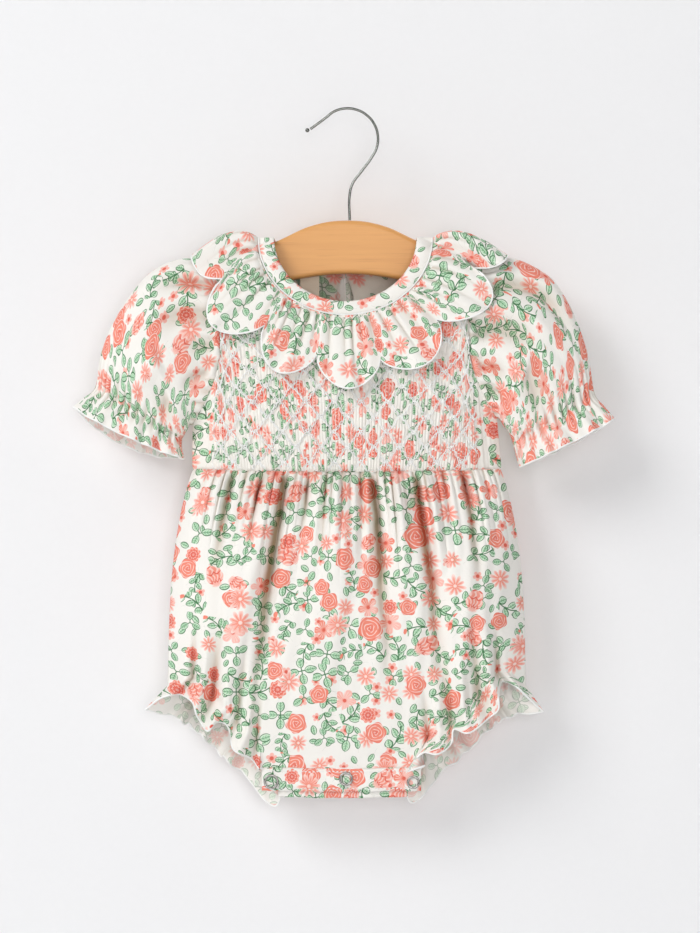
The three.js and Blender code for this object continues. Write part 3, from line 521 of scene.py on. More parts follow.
def front_path(share, z, lift):
    waist_x = mix(WAIST["left"], WAIST["right"], share)
    top_x, top_z = bodice_top(share, "front")
    rise = (z - waist_z(waist_x)) / (top_z - waist_z(waist_x))
    spots = on_grid(front_points, share, rise)
    spots[:, 1] -= lift
    keep = (rise > THREAD_ENDS["low"]) & (rise < THREAD_ENDS["high"])
    cuts = np.flatnonzero(np.diff(keep.astype(int))) + 1
    runs = [run for run in np.split(np.arange(len(share)), cuts) if keep[run[0]] and len(run) > 3]
    return [spots[run] for run in runs]


smock_line = np.linspace(SMOCK_EDGE["left"], SMOCK_EDGE["right"], PLEATS * POINTS_PER_PLEAT)
lattice_paths = []
thread_x = mix(WAIST["left"], WAIST["right"], smock_line)
for thread in range(LATTICE["threads"]):
    middle_z = lattice_z(thread, thread_x)
    for strand in (-1, 1):
        wander = THREAD_WANDER * uneven(thread_x * 1.7, thread + strand * 3)
        stitch = np.tanh(3 * np.sin(2 * math.pi * thread_x / STITCH_LENGTH + 2 * strand + thread))
        strand_z = middle_z + strand * STRAND_GAP + wander + STITCH_STEP * stitch
        lattice_paths += front_path(smock_line, strand_z, THREAD_LIFT)
lattice_threads = cord_mesh("smocking_threads", lattice_paths, THREAD_RADIUS, sides=5)
print("lattice runs:", len(lattice_paths))

# %% [markdown]
# The back of the bodice is one plain panel, opened at the centre by a keyhole so that the
# garment goes over a head. A few soft upright folds keep it from looking like card. Every
# panel is cut from its own place on the printed cloth, so that no two look alike.

# %% The plain back panel
KEYHOLE = {"x": -1.4, "top": -107, "bottom": -127, "half": 5.4}
KEYHOLE_REACH = 14
BACK_FOLD = 1.1
BACK_GATHER = {"height": 0.45, "waves": 260}
BACK_CUT_PLACE = (811, 433)


def keyhole_width(z):
    """Half the width of the keyhole at a height: a drop, round below and pointed above."""
    centre = KEYHOLE["bottom"] + KEYHOLE["half"]
    round_part = np.sqrt(np.maximum(0, KEYHOLE["half"] ** 2 - np.minimum(0, z - centre) ** 2))
    up = np.clip((z - centre) / (KEYHOLE["top"] - centre), 0, 1)
    return round_part * (1 - up) ** 0.7


back_folds = BACK_FOLD * uneven(back_share * 9, 5) * np.sin(math.pi * back_share)
back_folds = back_folds * (1 - back_rise) ** 0.6
back_gathers = BACK_GATHER["height"] * np.cos(back_share * BACK_GATHER["waves"])
back_gathers = back_gathers * ease(1 - back_rise * 7)
back_dip = hump(back_base[..., 2] - waist_z(back_base[..., 0]), 1.6)
back_lift = SHELL_LIFT + back_folds + back_gathers - WAIST_DIP * back_dip
back_points = lifted(back_base, back_lift * np.ones(back_base.shape[:2]), "back")
half_open = keyhole_width(back_points[..., 2])
from_middle = back_points[..., 0] - KEYHOLE["x"]
side = np.where(from_middle < 0, -1, 1)
opened = side * (half_open + np.abs(from_middle) * (1 - half_open / KEYHOLE_REACH))
back_points[..., 0] = KEYHOLE["x"] + np.where(np.abs(from_middle) < KEYHOLE_REACH, opened, from_middle)
open_faces = (side[:-1, :-1] != side[1:, :-1]) & (half_open[:-1, :-1] > 0.05)
back_flat = flat_place(back_points, 0) + BACK_CUT_PLACE
bodice_back = sheet_mesh("plain_back", back_points, back_flat, "back", open_faces)
thicken(bodice_back, CLOTH)
print("back faces:", len(bodice_back.data.polygons))

# %% [markdown]
# The body is a bubble: two panels gathered into the waist seam above and into an elastic
# at each leg below, with a small ruffle beyond the elastic. A table gives the elastic
# line and the hem for places along the width, from one side seam to the other.

# %% Edges of the body panels
FRONT_EDGE = table(
    "share x z depth hem_x hem_z hem_y",
    (0, -116.5, -374, 0.2, -130.5, -389.7, 0.2),
    (0.06, -103, -368, 10, -111, -380.5, 11),
    (0.13, -90, -376, 15, -97.5, -390, 17),
    (0.2, -76, -392, 15, -84, -403, 17),
    (0.27, -64, -404, 12, -71, -415, 13),
    (0.33, -54, -413, 9, -56, -427, 7.4),
    (0.5, -3, -417, 10, -4, -427, 7.4),
    (0.67, 46, -413, 9, 47.5, -427, 7.4),
    (0.73, 58, -402, 12, 63, -413, 13),
    (0.8, 73, -391, 15, 80, -401, 17),
    (0.87, 87, -375, 15, 95, -388, 17),
    (0.94, 101, -364, 10, 108, -374, 11),
    (1, 115.5, -374, 0.2, 126.6, -391, 0.2),
)
BACK_EDGE = table(
    "share x z depth hem_x hem_z hem_y",
    (0, -116.5, -374, 0.2, -130.5, -389.7, 0.2),
    (0.06, -103, -382, 9, -113, -395.5, 9),
    (0.13, -88, -391, 13, -98, -405, 14),
    (0.2, -74, -405, 13, -84, -419, 14),
    (0.27, -60, -418, 8, -66, -434, 9),
    (0.33, -50, -428, 0, -46, -452, 1),
    (0.37, -38, -426, -3, -40, -431, -4.6),
    (0.5, -3, -424, -2, -4, -431, -4.6),
    (0.63, 32, -426, -3, 34, -431, -4.6),
    (0.67, 44, -427, 0, 41, -450, 1),
    (0.73, 54, -417, 8, 60, -433, 9),
    (0.8, 70, -404, 13, 79, -417, 14),
    (0.87, 85, -391, 13, 93, -403, 14),
    (0.94, 101, -382, 9, 108, -394, 9),
    (1, 115.5, -374, 0.2, 126.6, -391, 0.2),
)
BODY = {
    "front": {"edge": FRONT_EDGE, "columns": 440, "puff": 15, "gathers": 25, "wave": 0.6, "curl": 0},
    "back": {"edge": BACK_EDGE, "columns": 300, "puff": 12, "gathers": 21, "wave": 2.3, "curl": 1.3},
}
BODY_ROWS = 84
RUFFLE_ROWS = 12
OUTLINE_SWELL = 6
GATHER_HEIGHT = 5.2
FOLD_DEPTH = 3.5
FOLD_SHARP = 0.4
FOLD_BITE = 0.45
DEEPEST_FOLD = 4.6
GATHER_REACH = 0.42
GATHER_SHADE = 0.8
FOLD_SHADE = 1
LEG_SHADE = 0.6
BROAD_WAVE = 2
LEG_PART = 0.32
LEG_WAVES = 23
LEG_PINCH = 0.9
LEG_GATHER = 0.7
HEM_CURL = 0.9
HEMS = {
    "left": [
        (-131.4, -389.7), (-119.3, -380.9), (-108.9, -379.3), (-100.1, -383.5), (-96.6, -393.3),
        (-89.6, -401.7), (-84.4, -396.5), (-79.2, -397.6), (-75.7, -405.4), (-74, -413.3),
        (-62.7, -420.2), (-56.6, -428),
    ],
    "right": [
        (38.7, -429.3), (43.4, -422), (48.8, -416.5), (57.9, -416.5), (67, -410.2), (68.8, -401.1),
        (76.1, -402.9), (88.9, -395.5), (97.2, -388.2), (97.2, -379.1), (99.8, -371),
        (107.1, -372.8), (116.3, -380.9), (127.1, -391),
    ],
}
print("rows in the tables:", len(FRONT_EDGE), len(BACK_EDGE))

# %% [markdown]
# Cloth that hangs from gathers falls into a few long folds. Each main fold here is a soft
# trough or ridge, listed one by one: where it starts on the waist, how it drifts sideways,
# how far it runs down, its height and its width. Short creases fan out of the leg elastic.
# Little light gets into a fold, so each point also notes how deep in one it lies, and the
# cloth is painted a little darker there.

# %% Main folds of the body
FOLDS = {
    "front": table(
        "share drift reach height width",
        (0.31, -0.02, 1.05, -4.6, 0.024),
        (0.335, -0.01, 0.7, 2.2, 0.018),
        (0.227, -0.01, 0.32, -3, 0.013),
        (0.38, 0.005, 0.27, -2.6, 0.012),
        (0.585, 0.03, 0.85, -3.8, 0.021),
        (0.72, 0.035, 0.95, -4.2, 0.022),
        (0.755, 0.03, 0.5, 1.8, 0.02),
        (0.47, 0.02, 0.55, 2.2, 0.04),
        (0.14, -0.01, 0.6, -2.4, 0.02),
        (0.87, 0.01, 0.6, -2.4, 0.02),
        (0.655, 0.02, 0.4, 1.8, 0.02),
    ),
    "back": table(
        "share drift reach height width",
        (0.24, -0.02, 0.7, -3.6, 0.024),
        (0.41, 0.01, 0.55, -3, 0.02),
        (0.52, 0.02, 0.6, 2.2, 0.04),
        (0.66, 0.03, 0.75, -3.8, 0.024),
        (0.82, 0.01, 0.5, -2.4, 0.018),
        (0.12, 0, 0.45, -2, 0.02),
    ),
}
LEG_CREASES = table(
    "share lean reach height width",
    (0.075, 0.02, 0.3, -2.6, 0.011),
    (0.11, 0.04, 0.42, 2, 0.014),
    (0.145, 0.05, 0.45, -3.2, 0.013),
    (0.19, 0.05, 0.34, 1.8, 0.013),
    (0.225, 0.06, 0.4, -2.8, 0.012),
    (0.265, 0.04, 0.28, 1.8, 0.012),
    (0.3, 0.03, 0.24, -2.2, 0.011),
)


def crease_shape(away, width):
    """A rounded fold with a sharper line along its middle."""
    return mix(hump(away, width), hump(away, FOLD_SHARP * width), FOLD_BITE)


def fold_relief(face, share, fall):
    """Height of the gathers and folds over the smooth bubble, and how deep in shade they lie."""
    fade = np.maximum(0, 1 - fall / GATHER_REACH) ** 1.3
    count = BODY[face]["gathers"]
    phase = share * count + 0.6 * uneven(share * 23, 6)
    size = 0.62 + 0.5 * uneven(np.floor(phase) * 1.3, 7)
    pleat = 2 * np.abs(np.cos(phase * math.pi)) ** 0.65 - 1.2
    relief = pleat * GATHER_HEIGHT * fade * size * np.clip(fall / 0.04, 0.4, 1)
    valley = (1 - np.abs(np.cos(phase * math.pi - 0.25))) ** 1.6
    shade = GATHER_SHADE * valley * np.maximum(0, 1 - fall / (0.32 * size)) ** 1.2
    fine = np.cos(share * count * 2 * math.pi * 2.6 + 1) * 0.6 * hump(fall, 0.09)
    relief = relief + BROAD_WAVE * uneven(share * 17 + 1.5 * fall, 11) * np.sin(math.pi * fall) ** 0.7
    relief = relief + fine
    for fold in FOLDS[face]:
        middle = fold["share"] + fold["drift"] * fall + 0.004 * uneven(fall * 9, fold["share"] * 50)
        run = ease(1 - fall / fold["reach"]) * np.clip(fall / 0.05, 0, 1)
        away = share - middle
        width = fold["width"] * (1 + 0.7 * fall)
        relief = relief + FOLD_DEPTH * fold["height"] * run * crease_shape(away, width)
        if fold["height"] < 0:
            from_left = np.clip((away + 0.9 * width) / (0.5 * width), 0, 1)
            hidden = from_left * ease((0.75 * width - away) / width)
            deep = FOLD_SHADE * np.sqrt(-fold["height"] / DEEPEST_FOLD)
            shade = np.maximum(shade, deep * hidden * np.minimum(1, 1.5 * run))
    for mirrored in (False, True):
        side = 1 - share if mirrored else share
        for n, crease in enumerate(LEG_CREASES):
            strength = 0.75 + 0.25 * uneven(n * 2.2, 3 + mirrored)
            middle = crease["share"] + 0.006 * uneven(n, 8 + mirrored) + crease["lean"] * (1 - fall)
            run = ease((fall - 1 + crease["reach"]) / crease["reach"])
            strength = 0.85 * strength * FOLD_DEPTH * run
            relief = relief + strength * crease["height"] * hump(side - middle, crease["width"])
            if crease["height"] < 0:
                deep = LEG_SHADE * run * hump(side - middle, 0.8 * crease["width"])
                shade = np.maximum(shade, deep)
    return relief, shade


print("main folds:", len(FOLDS["front"]), "front,", len(FOLDS["back"]), "back")

# %% [markdown]
# The body panels: rows run from the waist seam down to the elastic and on over the ruffle.
# Beyond the elastic the ruffle waves in and out, with the largest waves under the legs.

# %% Body panels
def hem_place(share, side):
    """Which columns lie over one leg, and where the curly front hem runs there."""
    spots = np.array(HEMS[side])
    steps = np.concatenate([[0], np.cumsum(np.linalg.norm(np.diff(spots, axis=0), axis=1))])
    start, end = (0, LEG_PART) if side == "left" else (1 - LEG_PART, 1)
    rows = [
        {"share": mix(start, end, step / steps[-1]), "x": spot[0], "z": spot[1]}
        for step, spot in zip(steps, spots)
    ]
    inside = (share >= start) & (share <= end)
    return inside, along(rows, "share", "x", share), along(rows, "share", "z", share)


def body_grid(face):
    spec = BODY[face]
    share = np.linspace(0, 1, spec["columns"] + 1)[:, None]
    step = np.arange(BODY_ROWS + RUFFLE_ROWS + 1)[None, :]
    fall = np.minimum(1, step / BODY_ROWS)
    ruffle = np.maximum(0, (step - BODY_ROWS) / RUFFLE_ROWS)
    waist_x = mix(WAIST["left"], WAIST["right"], share)
    waist = waist_z(waist_x) + 0.2
    waist_depth = bodice_depth(waist_x, waist_z(waist_x) - SEAM_GAP, face)
    edge = {name: along(spec["edge"], "share", name, share) for name in spec["edge"][0]}
    curl = 0 * share
    if face == "front":
        for side in ("left", "right"):
            inside, hem_x, hem_z = hem_place(share, side)
            curl = np.where(inside, edge["hem_z"] - hem_z, curl)
            edge["hem_x"] = np.where(inside, hem_x, edge["hem_x"])
            edge["hem_z"] = np.where(inside, hem_z, edge["hem_z"])
    centred = share * 2 - 1
    fullness = pillow(centred)
    swell = OUTLINE_SWELL * np.sin(math.pi * fall**0.75) * centred
    x = mix(mix(waist_x, edge["x"], fall), edge["hem_x"], ruffle) + swell
    z = mix(mix(waist, edge["z"], fall), edge["hem_z"], ruffle)
    smooth_depth = mix(waist_depth, edge["depth"], ease(fall))
    bulge = spec["puff"] * fullness * np.sin(math.pi * fall**0.8) ** 0.8
    from_side = np.minimum(share, 1 - share)
    leg = np.where(from_side < LEG_PART, np.sin(math.pi * np.minimum(from_side / LEG_PART, 1)) ** 0.6, 0)
    swing = share * LEG_WAVES + 0.5 * uneven(share * 15, 9)
    wave = np.cos(2 * math.pi * swing) * ruffle * leg
    pinch = LEG_PINCH * hump(fall - 1, 0.05) * hump(ruffle, 0.3) * leg
    gather = LEG_GATHER * np.cos(2 * math.pi * swing * 2) * hump(fall - 1, 0.06) * (1 - ruffle) * leg
    folds, shade = fold_relief(face, share, fall)
    relief = folds * np.minimum(1, fullness * 2) + gather
    depth = mix(smooth_depth + bulge, edge["hem_y"], ruffle) + relief + spec["wave"] * wave - pinch
    depth = depth + HEM_CURL * curl * ruffle * np.minimum(1, fullness * 3)
    depth = depth + SHELL_LIFT * np.minimum(1, fullness * 3)
    z = z + spec["curl"] * np.sin(2 * math.pi * swing) * ruffle * leg
    dip = hump((step - 1) * 2.0, 2.0) * 0.8
    depth = np.where((share == 0) | (share == 1), SEAM_GAP / 2, depth - dip * fullness)
    shade = shade * np.minimum(1, fullness * 2) * (1 - ruffle)
    return np.stack([x, FACE_SIGN[face] * depth, z], axis=-1), shade


BODY_WIDEST = 0.62
BODY_CUT_PLACE = {"front": (0, 0), "back": (523, 311)}
body_points = {}
body_pieces = {}
for face in ("front", "back"):
    body_points[face], body_shade = body_grid(face)
    widest = int(BODY_ROWS * BODY_WIDEST)
    flat = flat_place(body_points[face], widest) + BODY_CUT_PLACE[face]
    piece = sheet_mesh("bubble_" + face, body_points[face], flat, face, shade=body_shade)
    body_pieces[face] = thicken(piece, CLOTH)
    print(piece.name, "faces:", len(piece.data.polygons))

# %% [markdown]
# A short puff sleeve is a tube. Its top is gathered into the armhole, it swells over the
# upper arm, and an elastic line draws it in above a small ruffle. The table lists the
# upper and lower outline, the depth each way and how far each section bows.

# %% Sleeve sections
SLEEVES = {
    "left": table(
        "out_x out_z in_x in_z front back bow_front bow_back",
        (-93, -97.6, -103.4, -204.2, 17, 14, -8, -8),
        (-109, -97.4, -104.2, -206, 19, 16, -7, -7),
        (-125, -104, -104.6, -207.6, 20, 17, -5, -5),
        (-138, -117, -105.5, -209.2, 21, 17, -3, -3),
        (-151, -137, -106.4, -210.8, 20, 16, -2, -2),
        (-159.5, -158, -107.2, -212.4, 18, 15, -1, -1),
        (-163.5, -180, -108, -214, 14, 12, 0, 1),
        (-171, -187.5, -108, -220, 16, 13, 1, 5),
        (-178.3, -193.4, -106.5, -227, 17, 15, 2, 9),
    ),
    "right": table(
        "out_x out_z in_x in_z front back bow_front bow_back",
        (91, -98.4, 99.4, -200.6, 17, 14, -8, -8),
        (105.3, -96.6, 100.8, -202.8, 19, 16, -7, -7),
        (121, -102.3, 101.8, -205, 20, 17, -5, -5),
        (135, -113, 103.6, -207.4, 21, 17, -3, -3),
        (147.4, -135, 105.3, -209.8, 20, 16, -2, -2),
        (155.5, -159, 106.6, -212.6, 18, 15, -1, -1),
        (160.2, -184, 108, -217, 14, 12, 0, 0),
        (166.7, -193, 110, -225, 16, 13, 0.5, 1.5),
        (173.4, -200.9, 112, -232, 17, 15, 0.5, 2.5),
    ),
}
SLEEVE_COLUMNS = 264
SLEEVE_STEPS = 11
SLEEVE_WIDEST = 4
SLEEVE_INSET = 0.7
SLEEVE_FOLD_DEPTH = 2.2
ELASTIC = 7
ARMPIT_ROOM = 1.5
CUFF_WAVES = 12
CUFF_HEIGHT = 2.1
TOP_GATHERS = 30
TOP_GATHER = 1.5
ELASTIC_GATHERS = 34
ELASTIC_PINCH = 1.2
SLEEVE_SHADE = {"top": 0.6, "elastic": 0.5, "fold": 0.45}
SLEEVE_FOLDS = {
    "left": table(
        "turn start end height width drift",
        (0.135, 0.2, 3.6, -2.6, 0.02, -0.03),
        (0.2, 0.2, 4.2, -2.2, 0.018, -0.01),
        (0.255, 0.2, 3, -1.8, 0.016, 0.01),
        (0.31, 0.3, 3.4, -2, 0.018, 0.02),
        (0.24, 4, 7, 1.8, 0.03, -0.02),
        (0.33, 4.4, 7, -1.8, 0.02, 0.02),
        (0.7, 0.2, 3.8, -2.2, 0.02, 0.02),
        (0.8, 0.2, 3, -2, 0.018, 0),
    ),
    "right": table(
        "turn start end height width drift",
        (0.15, 0.2, 5.6, -3.2, 0.018, -0.035),
        (0.2, 0.2, 5, 1.6, 0.02, -0.02),
        (0.235, 0.2, 4.6, -2.8, 0.018, -0.01),
        (0.3, 0.2, 3.4, -2, 0.018, 0.02),
        (0.36, 0.3, 3, -1.8, 0.018, 0.02),
        (0.28, 4, 7, -1.8, 0.022, 0.02),
        (0.68, 0.2, 4, -2.2, 0.02, 0.02),
        (0.81, 0.2, 3, -2, 0.018, 0),
    ),
}


print("sleeve sections a side:", len(SLEEVES["left"]))

# %% [markdown]
# Each section is a flattened ring between its upper and its lower point. The rings are
# mixed smoothly along the sleeve, and the gathers, the elastic and the folds are then
# raised on them.

# %% Puff sleeves
def sleeve_rings(side, angle):
    """The armhole ring and the listed sections, each as points all round."""
    hole = ARMHOLE[side]
    depth_sign = np.where(np.sin(angle) >= 0, -1.0, 1.0)
    around = np.abs(np.sin(angle))
    start_x, start_z = armhole(side, (1 + np.cos(angle)) / 2)
    front_y = bodice_depth(start_x, start_z, "front")
    back_y = bodice_depth(start_x, start_z, "back")
    start_y = np.where(depth_sign < 0, front_y, back_y) * np.minimum(1, around * 20)
    room = ARMHOLE_GAP * 0.3 + ARMPIT_ROOM * ((1 - np.cos(angle)) / 2) ** 8
    rings = [np.stack([start_x + hole["sign"] * room, depth_sign * start_y, start_z], axis=-1)]
    for row in SLEEVES[side]:
        reach_x = (row["out_x"] - row["in_x"]) / 2
        reach_z = (row["out_z"] - row["in_z"]) / 2
        length = math.hypot(reach_x, reach_z)
        inside = 1 - SLEEVE_INSET / length
        depth = np.where(depth_sign < 0, row["front"], row["back"]) * around**0.75
        bow = -np.where(depth_sign < 0, row["bow_front"], row["bow_back"]) * around**2 * hole["sign"]
        middle_x = (row["out_x"] + row["in_x"]) / 2
        middle_z = (row["out_z"] + row["in_z"]) / 2
        x = middle_x + inside * reach_x * np.cos(angle) - bow * inside * reach_z / length
        z = middle_z + inside * reach_z * np.cos(angle) + bow * inside * reach_x / length
        rings.append(np.stack([x, depth_sign * depth, z], axis=-1))
    return np.stack(rings, axis=1)


def between_rings(rings, at):
    """Rings mixed smoothly at places between the listed ones."""
    count = rings.shape[1]
    slopes = np.gradient(rings, axis=1)
    row = np.clip(np.floor(at).astype(int), 0, count - 2)
    t = (at - row)[None, :, None]
    return curve(t, rings[:, row], rings[:, row + 1], slopes[:, row], slopes[:, row + 1])


def sleeve_points(side):
    turn = np.linspace(0, 1, SLEEVE_COLUMNS + 1)
    angle = (turn * 2 + 1) * math.pi
    sections = len(SLEEVES[side])
    at = np.linspace(0, sections, sections * SLEEVE_STEPS + 1)
    base = between_rings(sleeve_rings(side, angle), at)
    turned = ((turn + 0.5) % 1)[:, None]
    at = at[None, :]
    around = np.abs(np.sin(angle))[:, None]
    swing = turn[:, None] * TOP_GATHERS + 0.3 * uneven(turn[:, None] * 19, 4)
    top_pleat = 2 * np.abs(np.cos(math.pi * swing)) ** 0.8 - 1
    top_gather = TOP_GATHER * top_pleat * ease(1 - at / 2.8) * ease(at / 0.4)
    near_elastic = hump(at - ELASTIC, 0.7)
    elastic_swing = turn[:, None] * ELASTIC_GATHERS + 0.3 * uneven(turn[:, None] * 27, 2)
    elastic = ELASTIC_PINCH * np.cos(2 * math.pi * elastic_swing) * near_elastic
    elastic = elastic - ELASTIC_PINCH * hump(at - ELASTIC, 0.25)
    cuff_share = np.clip((at - ELASTIC) / 2, 0, 1)
    cuff_swing = turn[:, None] * CUFF_WAVES + 0.4 * uneven(turn[:, None] * 13, 6)
    cuff = CUFF_HEIGHT * np.cos(2 * math.pi * cuff_swing) * cuff_share
    relief = top_gather + elastic + cuff
    shade = SLEEVE_SHADE["top"] * (1 - np.abs(np.cos(math.pi * swing - 0.3))) ** 1.5
    shade = shade * ease(1 - at / 1.6)
    drawn_in = (0.5 - 0.5 * np.cos(2 * math.pi * elastic_swing)) ** 2
    shade = shade + SLEEVE_SHADE["elastic"] * drawn_in * near_elastic
    for fold in SLEEVE_FOLDS[side]:
        middle = fold["turn"] + fold["drift"] * (at - fold["start"]) / 3
        run = ease((at - fold["start"]) / 0.5) * ease((fold["end"] - at) / 1.8)
        away = np.abs(turned - middle)
        away = np.minimum(away, 1 - away)
        width = fold["width"] * (1 + 0.25 * at)
        relief = relief + SLEEVE_FOLD_DEPTH * fold["height"] * run * crease_shape(away, width)
        if fold["height"] < 0:
            shade = np.maximum(shade, SLEEVE_SHADE["fold"] * run * hump(away, 0.75 * width))
    relief = relief + 0.8 * uneven(turned * 21 + at * 0.4, 12) * ease(at / 1.5) * ease((ELASTIC - at) / 1.5)
    lift = relief * np.minimum(1, around * 1.6) + 0.7
    return lifted(base, lift * np.ones(base.shape[:2]), "tube"), shade * np.ones(base.shape[:2])


SLEEVE_CUT_PLACE = {"left": (137, 211), "right": (389, 57)}
sleeve_grids = {}
sleeve_pieces = {}
for side in ("left", "right"):
    grid, sleeve_shade = sleeve_points(side)
    sleeve_grids[side] = grid
    flat = flat_tube(grid, SLEEVE_WIDEST * SLEEVE_STEPS) + SLEEVE_CUT_PLACE[side]
    piece = sheet_mesh("puff_sleeve_" + side, grid, flat, "tube", shade=sleeve_shade)
    sleeve_pieces[side] = thicken(piece, CLOTH)
    print(piece.name, "faces:", len(piece.data.polygons))

# %% [markdown]
# The neckband is a bias strip folded over the raw edge of the neck. It goes once round,
# from one side of the back opening to the other, and crosses the wood at the shoulders.

# %% Places round the neck
BACK_SPLIT = 0.5
SEAM_RADIUS = 0.5
SEAM_INSET = 0.2
SEAM_LIFT = 2.2
BAND_COLUMNS = 401
BAND_ROWS = 13
BAND_ROLL = {"edge": 0.4, "middle": 1.6}
BAND_CREASE = 0.16


def neck_turn(turn):
    wrapped = turn % 1
    front = wrapped < 0.5
    half = (wrapped % 0.5) * 2
    across = np.clip(np.minimum(half, 1 - half) / CROSSING, 0, 1)
    run = np.clip((half - CROSSING) / (1 - 2 * CROSSING), 0, 1)
    angle = np.where(front, run * math.pi, (1 - run) * math.pi)
    return front, across, angle


def depth_at(front, x, z):
    depth = np.where(front, bodice_depth(x, z, "front"), bodice_depth(x, z, "back"))
    return np.maximum(CROSSING_DEPTH, depth)


def neck_points(turn, half_width, drop_front, drop_back, lift):
    front, across, angle = neck_turn(turn)
    x = NECK["x"] + half_width * np.cos(angle)
    z = NECK["z"] - np.where(front, drop_front, drop_back) * np.sin(angle)
    depth = (depth_at(front, x, z) + lift) * np.sin(across * math.pi / 2)
    return np.stack(np.broadcast_arrays(x, np.where(front, -1, 1) * depth, z), axis=-1)


band_turn = np.linspace(0.75 + BACK_SPLIT / 360, 1.75 - BACK_SPLIT / 360, BAND_COLUMNS)[:, None]
band_share = np.linspace(-0.06, 1, BAND_ROWS)[None, :]
band_half = mix(NECK["half"], NECK["inner_half"], band_share)
band_front = mix(NECK["drop"]["front"], NECK["inner_drop"]["front"], band_share)
band_back = mix(NECK["drop"]["back"], NECK["inner_drop"]["back"], band_share)
band_arch = np.sin(math.pi * np.clip(band_share, 0, 1))
band_roll = BAND_ROLL["edge"] + BAND_ROLL["middle"] * band_arch ** 0.6
band_crease = BAND_CREASE * uneven(band_turn * 90, 3) * band_arch
band_points = neck_points(band_turn, band_half, band_front, band_back, band_roll + band_crease)
band_middle = BAND_ROWS // 2
band_along = lengths(band_points, 0)[:, band_middle:band_middle + 1] + 0 * band_share
band_across = lengths(band_points, 1)
bias = math.radians(45)
band_flat = np.stack([
    band_along * math.cos(bias) - band_across * math.sin(bias),
    band_along * math.sin(bias) + band_across * math.cos(bias),
], axis=-1)
neckband = sheet_mesh("neck_binding", band_points, band_flat, "front")
thicken(neckband, CLOTH)
seam_half = NECK["half"] - SEAM_INSET
seam_drop = NECK["drop"]["front"] - SEAM_INSET
seam_line = neck_points(band_turn, seam_half, seam_drop, NECK["drop"]["back"], SEAM_LIFT)
neck_seam = cord_mesh("neck_seam", [seam_line[:, 0]], SEAM_RADIUS)
print("neckband length:", round(float(band_along[-1, 0])), "mm")

# %% [markdown]
# The collar is one long ruffle with a scalloped edge, gathered into the outer seam of the
# neckband. It has five lobes over the front, one on each shoulder and five behind, where
# it is open like the band. Each lobe stands off the bodice most at its middle.

# %% Collar lobes
LOBES = table(
    "angle notch_x notch_z tip_x tip_z",
    (22, 80.5, -104, 91, -128),
    (52, 57, -137, 52, -165),
    (77, 21, -163, -0.3, -181.4),
    (104, -19.8, -160, -46.5, -170),
    (130, -53.4, -141, -87, -141),
    (158, -80.3, -111, 0, 0),
)
SHOULDER_TIPS = {"right": (103.8, -94.5), "left": (-101.2, -94.5)}
LOBE_COLUMNS = 48
LOBE_ROUND = 0.55
SHOULDER_ROUND_X = 0.35
SHOULDER_ROUND_Z = 1.5
COLLAR_ROWS = 30
COLLAR_LIFT = 2.7
COLLAR_STAND = 3.6
COLLAR_WAVE = 4.2
COLLAR_SHOULDER_RISE = 9
COLLAR_GATHERS = 64
COLLAR_GATHER = 2.1
COLLAR_BROAD = {"height": 1.5, "waves": 27}
SPLIT_LOBE = 8
SPLIT_SHARES = [0.492, 0.508]


def collar_lobes():
    drop = NECK["drop"]["front"] - NECK["drop"]["back"]

    def notch(n, face):
        angle = LOBES[n]["angle"]
        rise = drop * math.sin(math.radians(angle)) if face == "back" else 0
        turn = angle / 360 if face == "front" else 1 - angle / 360
        return turn, LOBES[n]["notch_x"], LOBES[n]["notch_z"] + rise

    last = len(LOBES) - 1
    lobes = []
    for n in range(last):
        lobes.append((notch(n, "front"), notch(n + 1, "front"), (LOBES[n]["tip_x"], LOBES[n]["tip_z"])))
    lobes.append((notch(last, "front"), notch(last, "back"), SHOULDER_TIPS["left"]))
    for n in range(last, 0, -1):
        middle = (LOBES[n]["angle"] + LOBES[n - 1]["angle"]) / 2
        rise = drop * math.sin(math.radians(middle))
        tip = (LOBES[n - 1]["tip_x"], LOBES[n - 1]["tip_z"] + rise)
        lobes.append((notch(n, "back"), notch(n - 1, "back"), tip))
    turn, x, z = notch(0, "front")
    lobes.append((notch(0, "back"), (turn + 1, x, z), SHOULDER_TIPS["right"]))
    return lobes


collar_turn = []
collar_edge = []
collar_swell = []
for n, (start, end, tip) in enumerate(collar_lobes()):
    share = np.arange(LOBE_COLUMNS) / LOBE_COLUMNS
    if n == SPLIT_LOBE:
        middle = LOBE_COLUMNS // 2
        share = np.concatenate([share[:middle], SPLIT_SHARES, share[middle + 1:]])
        split_start = n * LOBE_COLUMNS + middle + 1
    swell = np.sin(math.pi * share) ** LOBE_ROUND
    on_shoulder = tip in SHOULDER_TIPS.values()
    swell_x = np.sin(math.pi * share) ** (SHOULDER_ROUND_X if on_shoulder else LOBE_ROUND)
    swell_z = np.sin(math.pi * share) ** (SHOULDER_ROUND_Z if on_shoulder else LOBE_ROUND)
    collar_turn.append(mix(start[0], end[0], share))
    edge_x = mix(start[1], end[1], share) + (tip[0] - (start[1] + end[1]) / 2) * swell_x
    edge_z = mix(start[2], end[2], share) + (tip[1] - (start[2] + end[2]) / 2) * swell_z
    collar_edge.append(np.stack([edge_x, edge_z], axis=-1))
    collar_swell.append(swell)
collar_turn = np.roll(np.concatenate(collar_turn), -split_start)[:, None]
collar_edge = np.roll(np.concatenate(collar_edge), -split_start, axis=0)
collar_swell = np.roll(np.concatenate(collar_swell), -split_start)[:, None]
print("columns round the collar:", len(collar_turn))

# %% [markdown]
# Rows run from the neck seam to the scalloped edge. Close gathers start at the seam and
# open out into a few uneven waves at the edge. The waves take up a part of the edge's
# length, which isn't counted on the flat map.

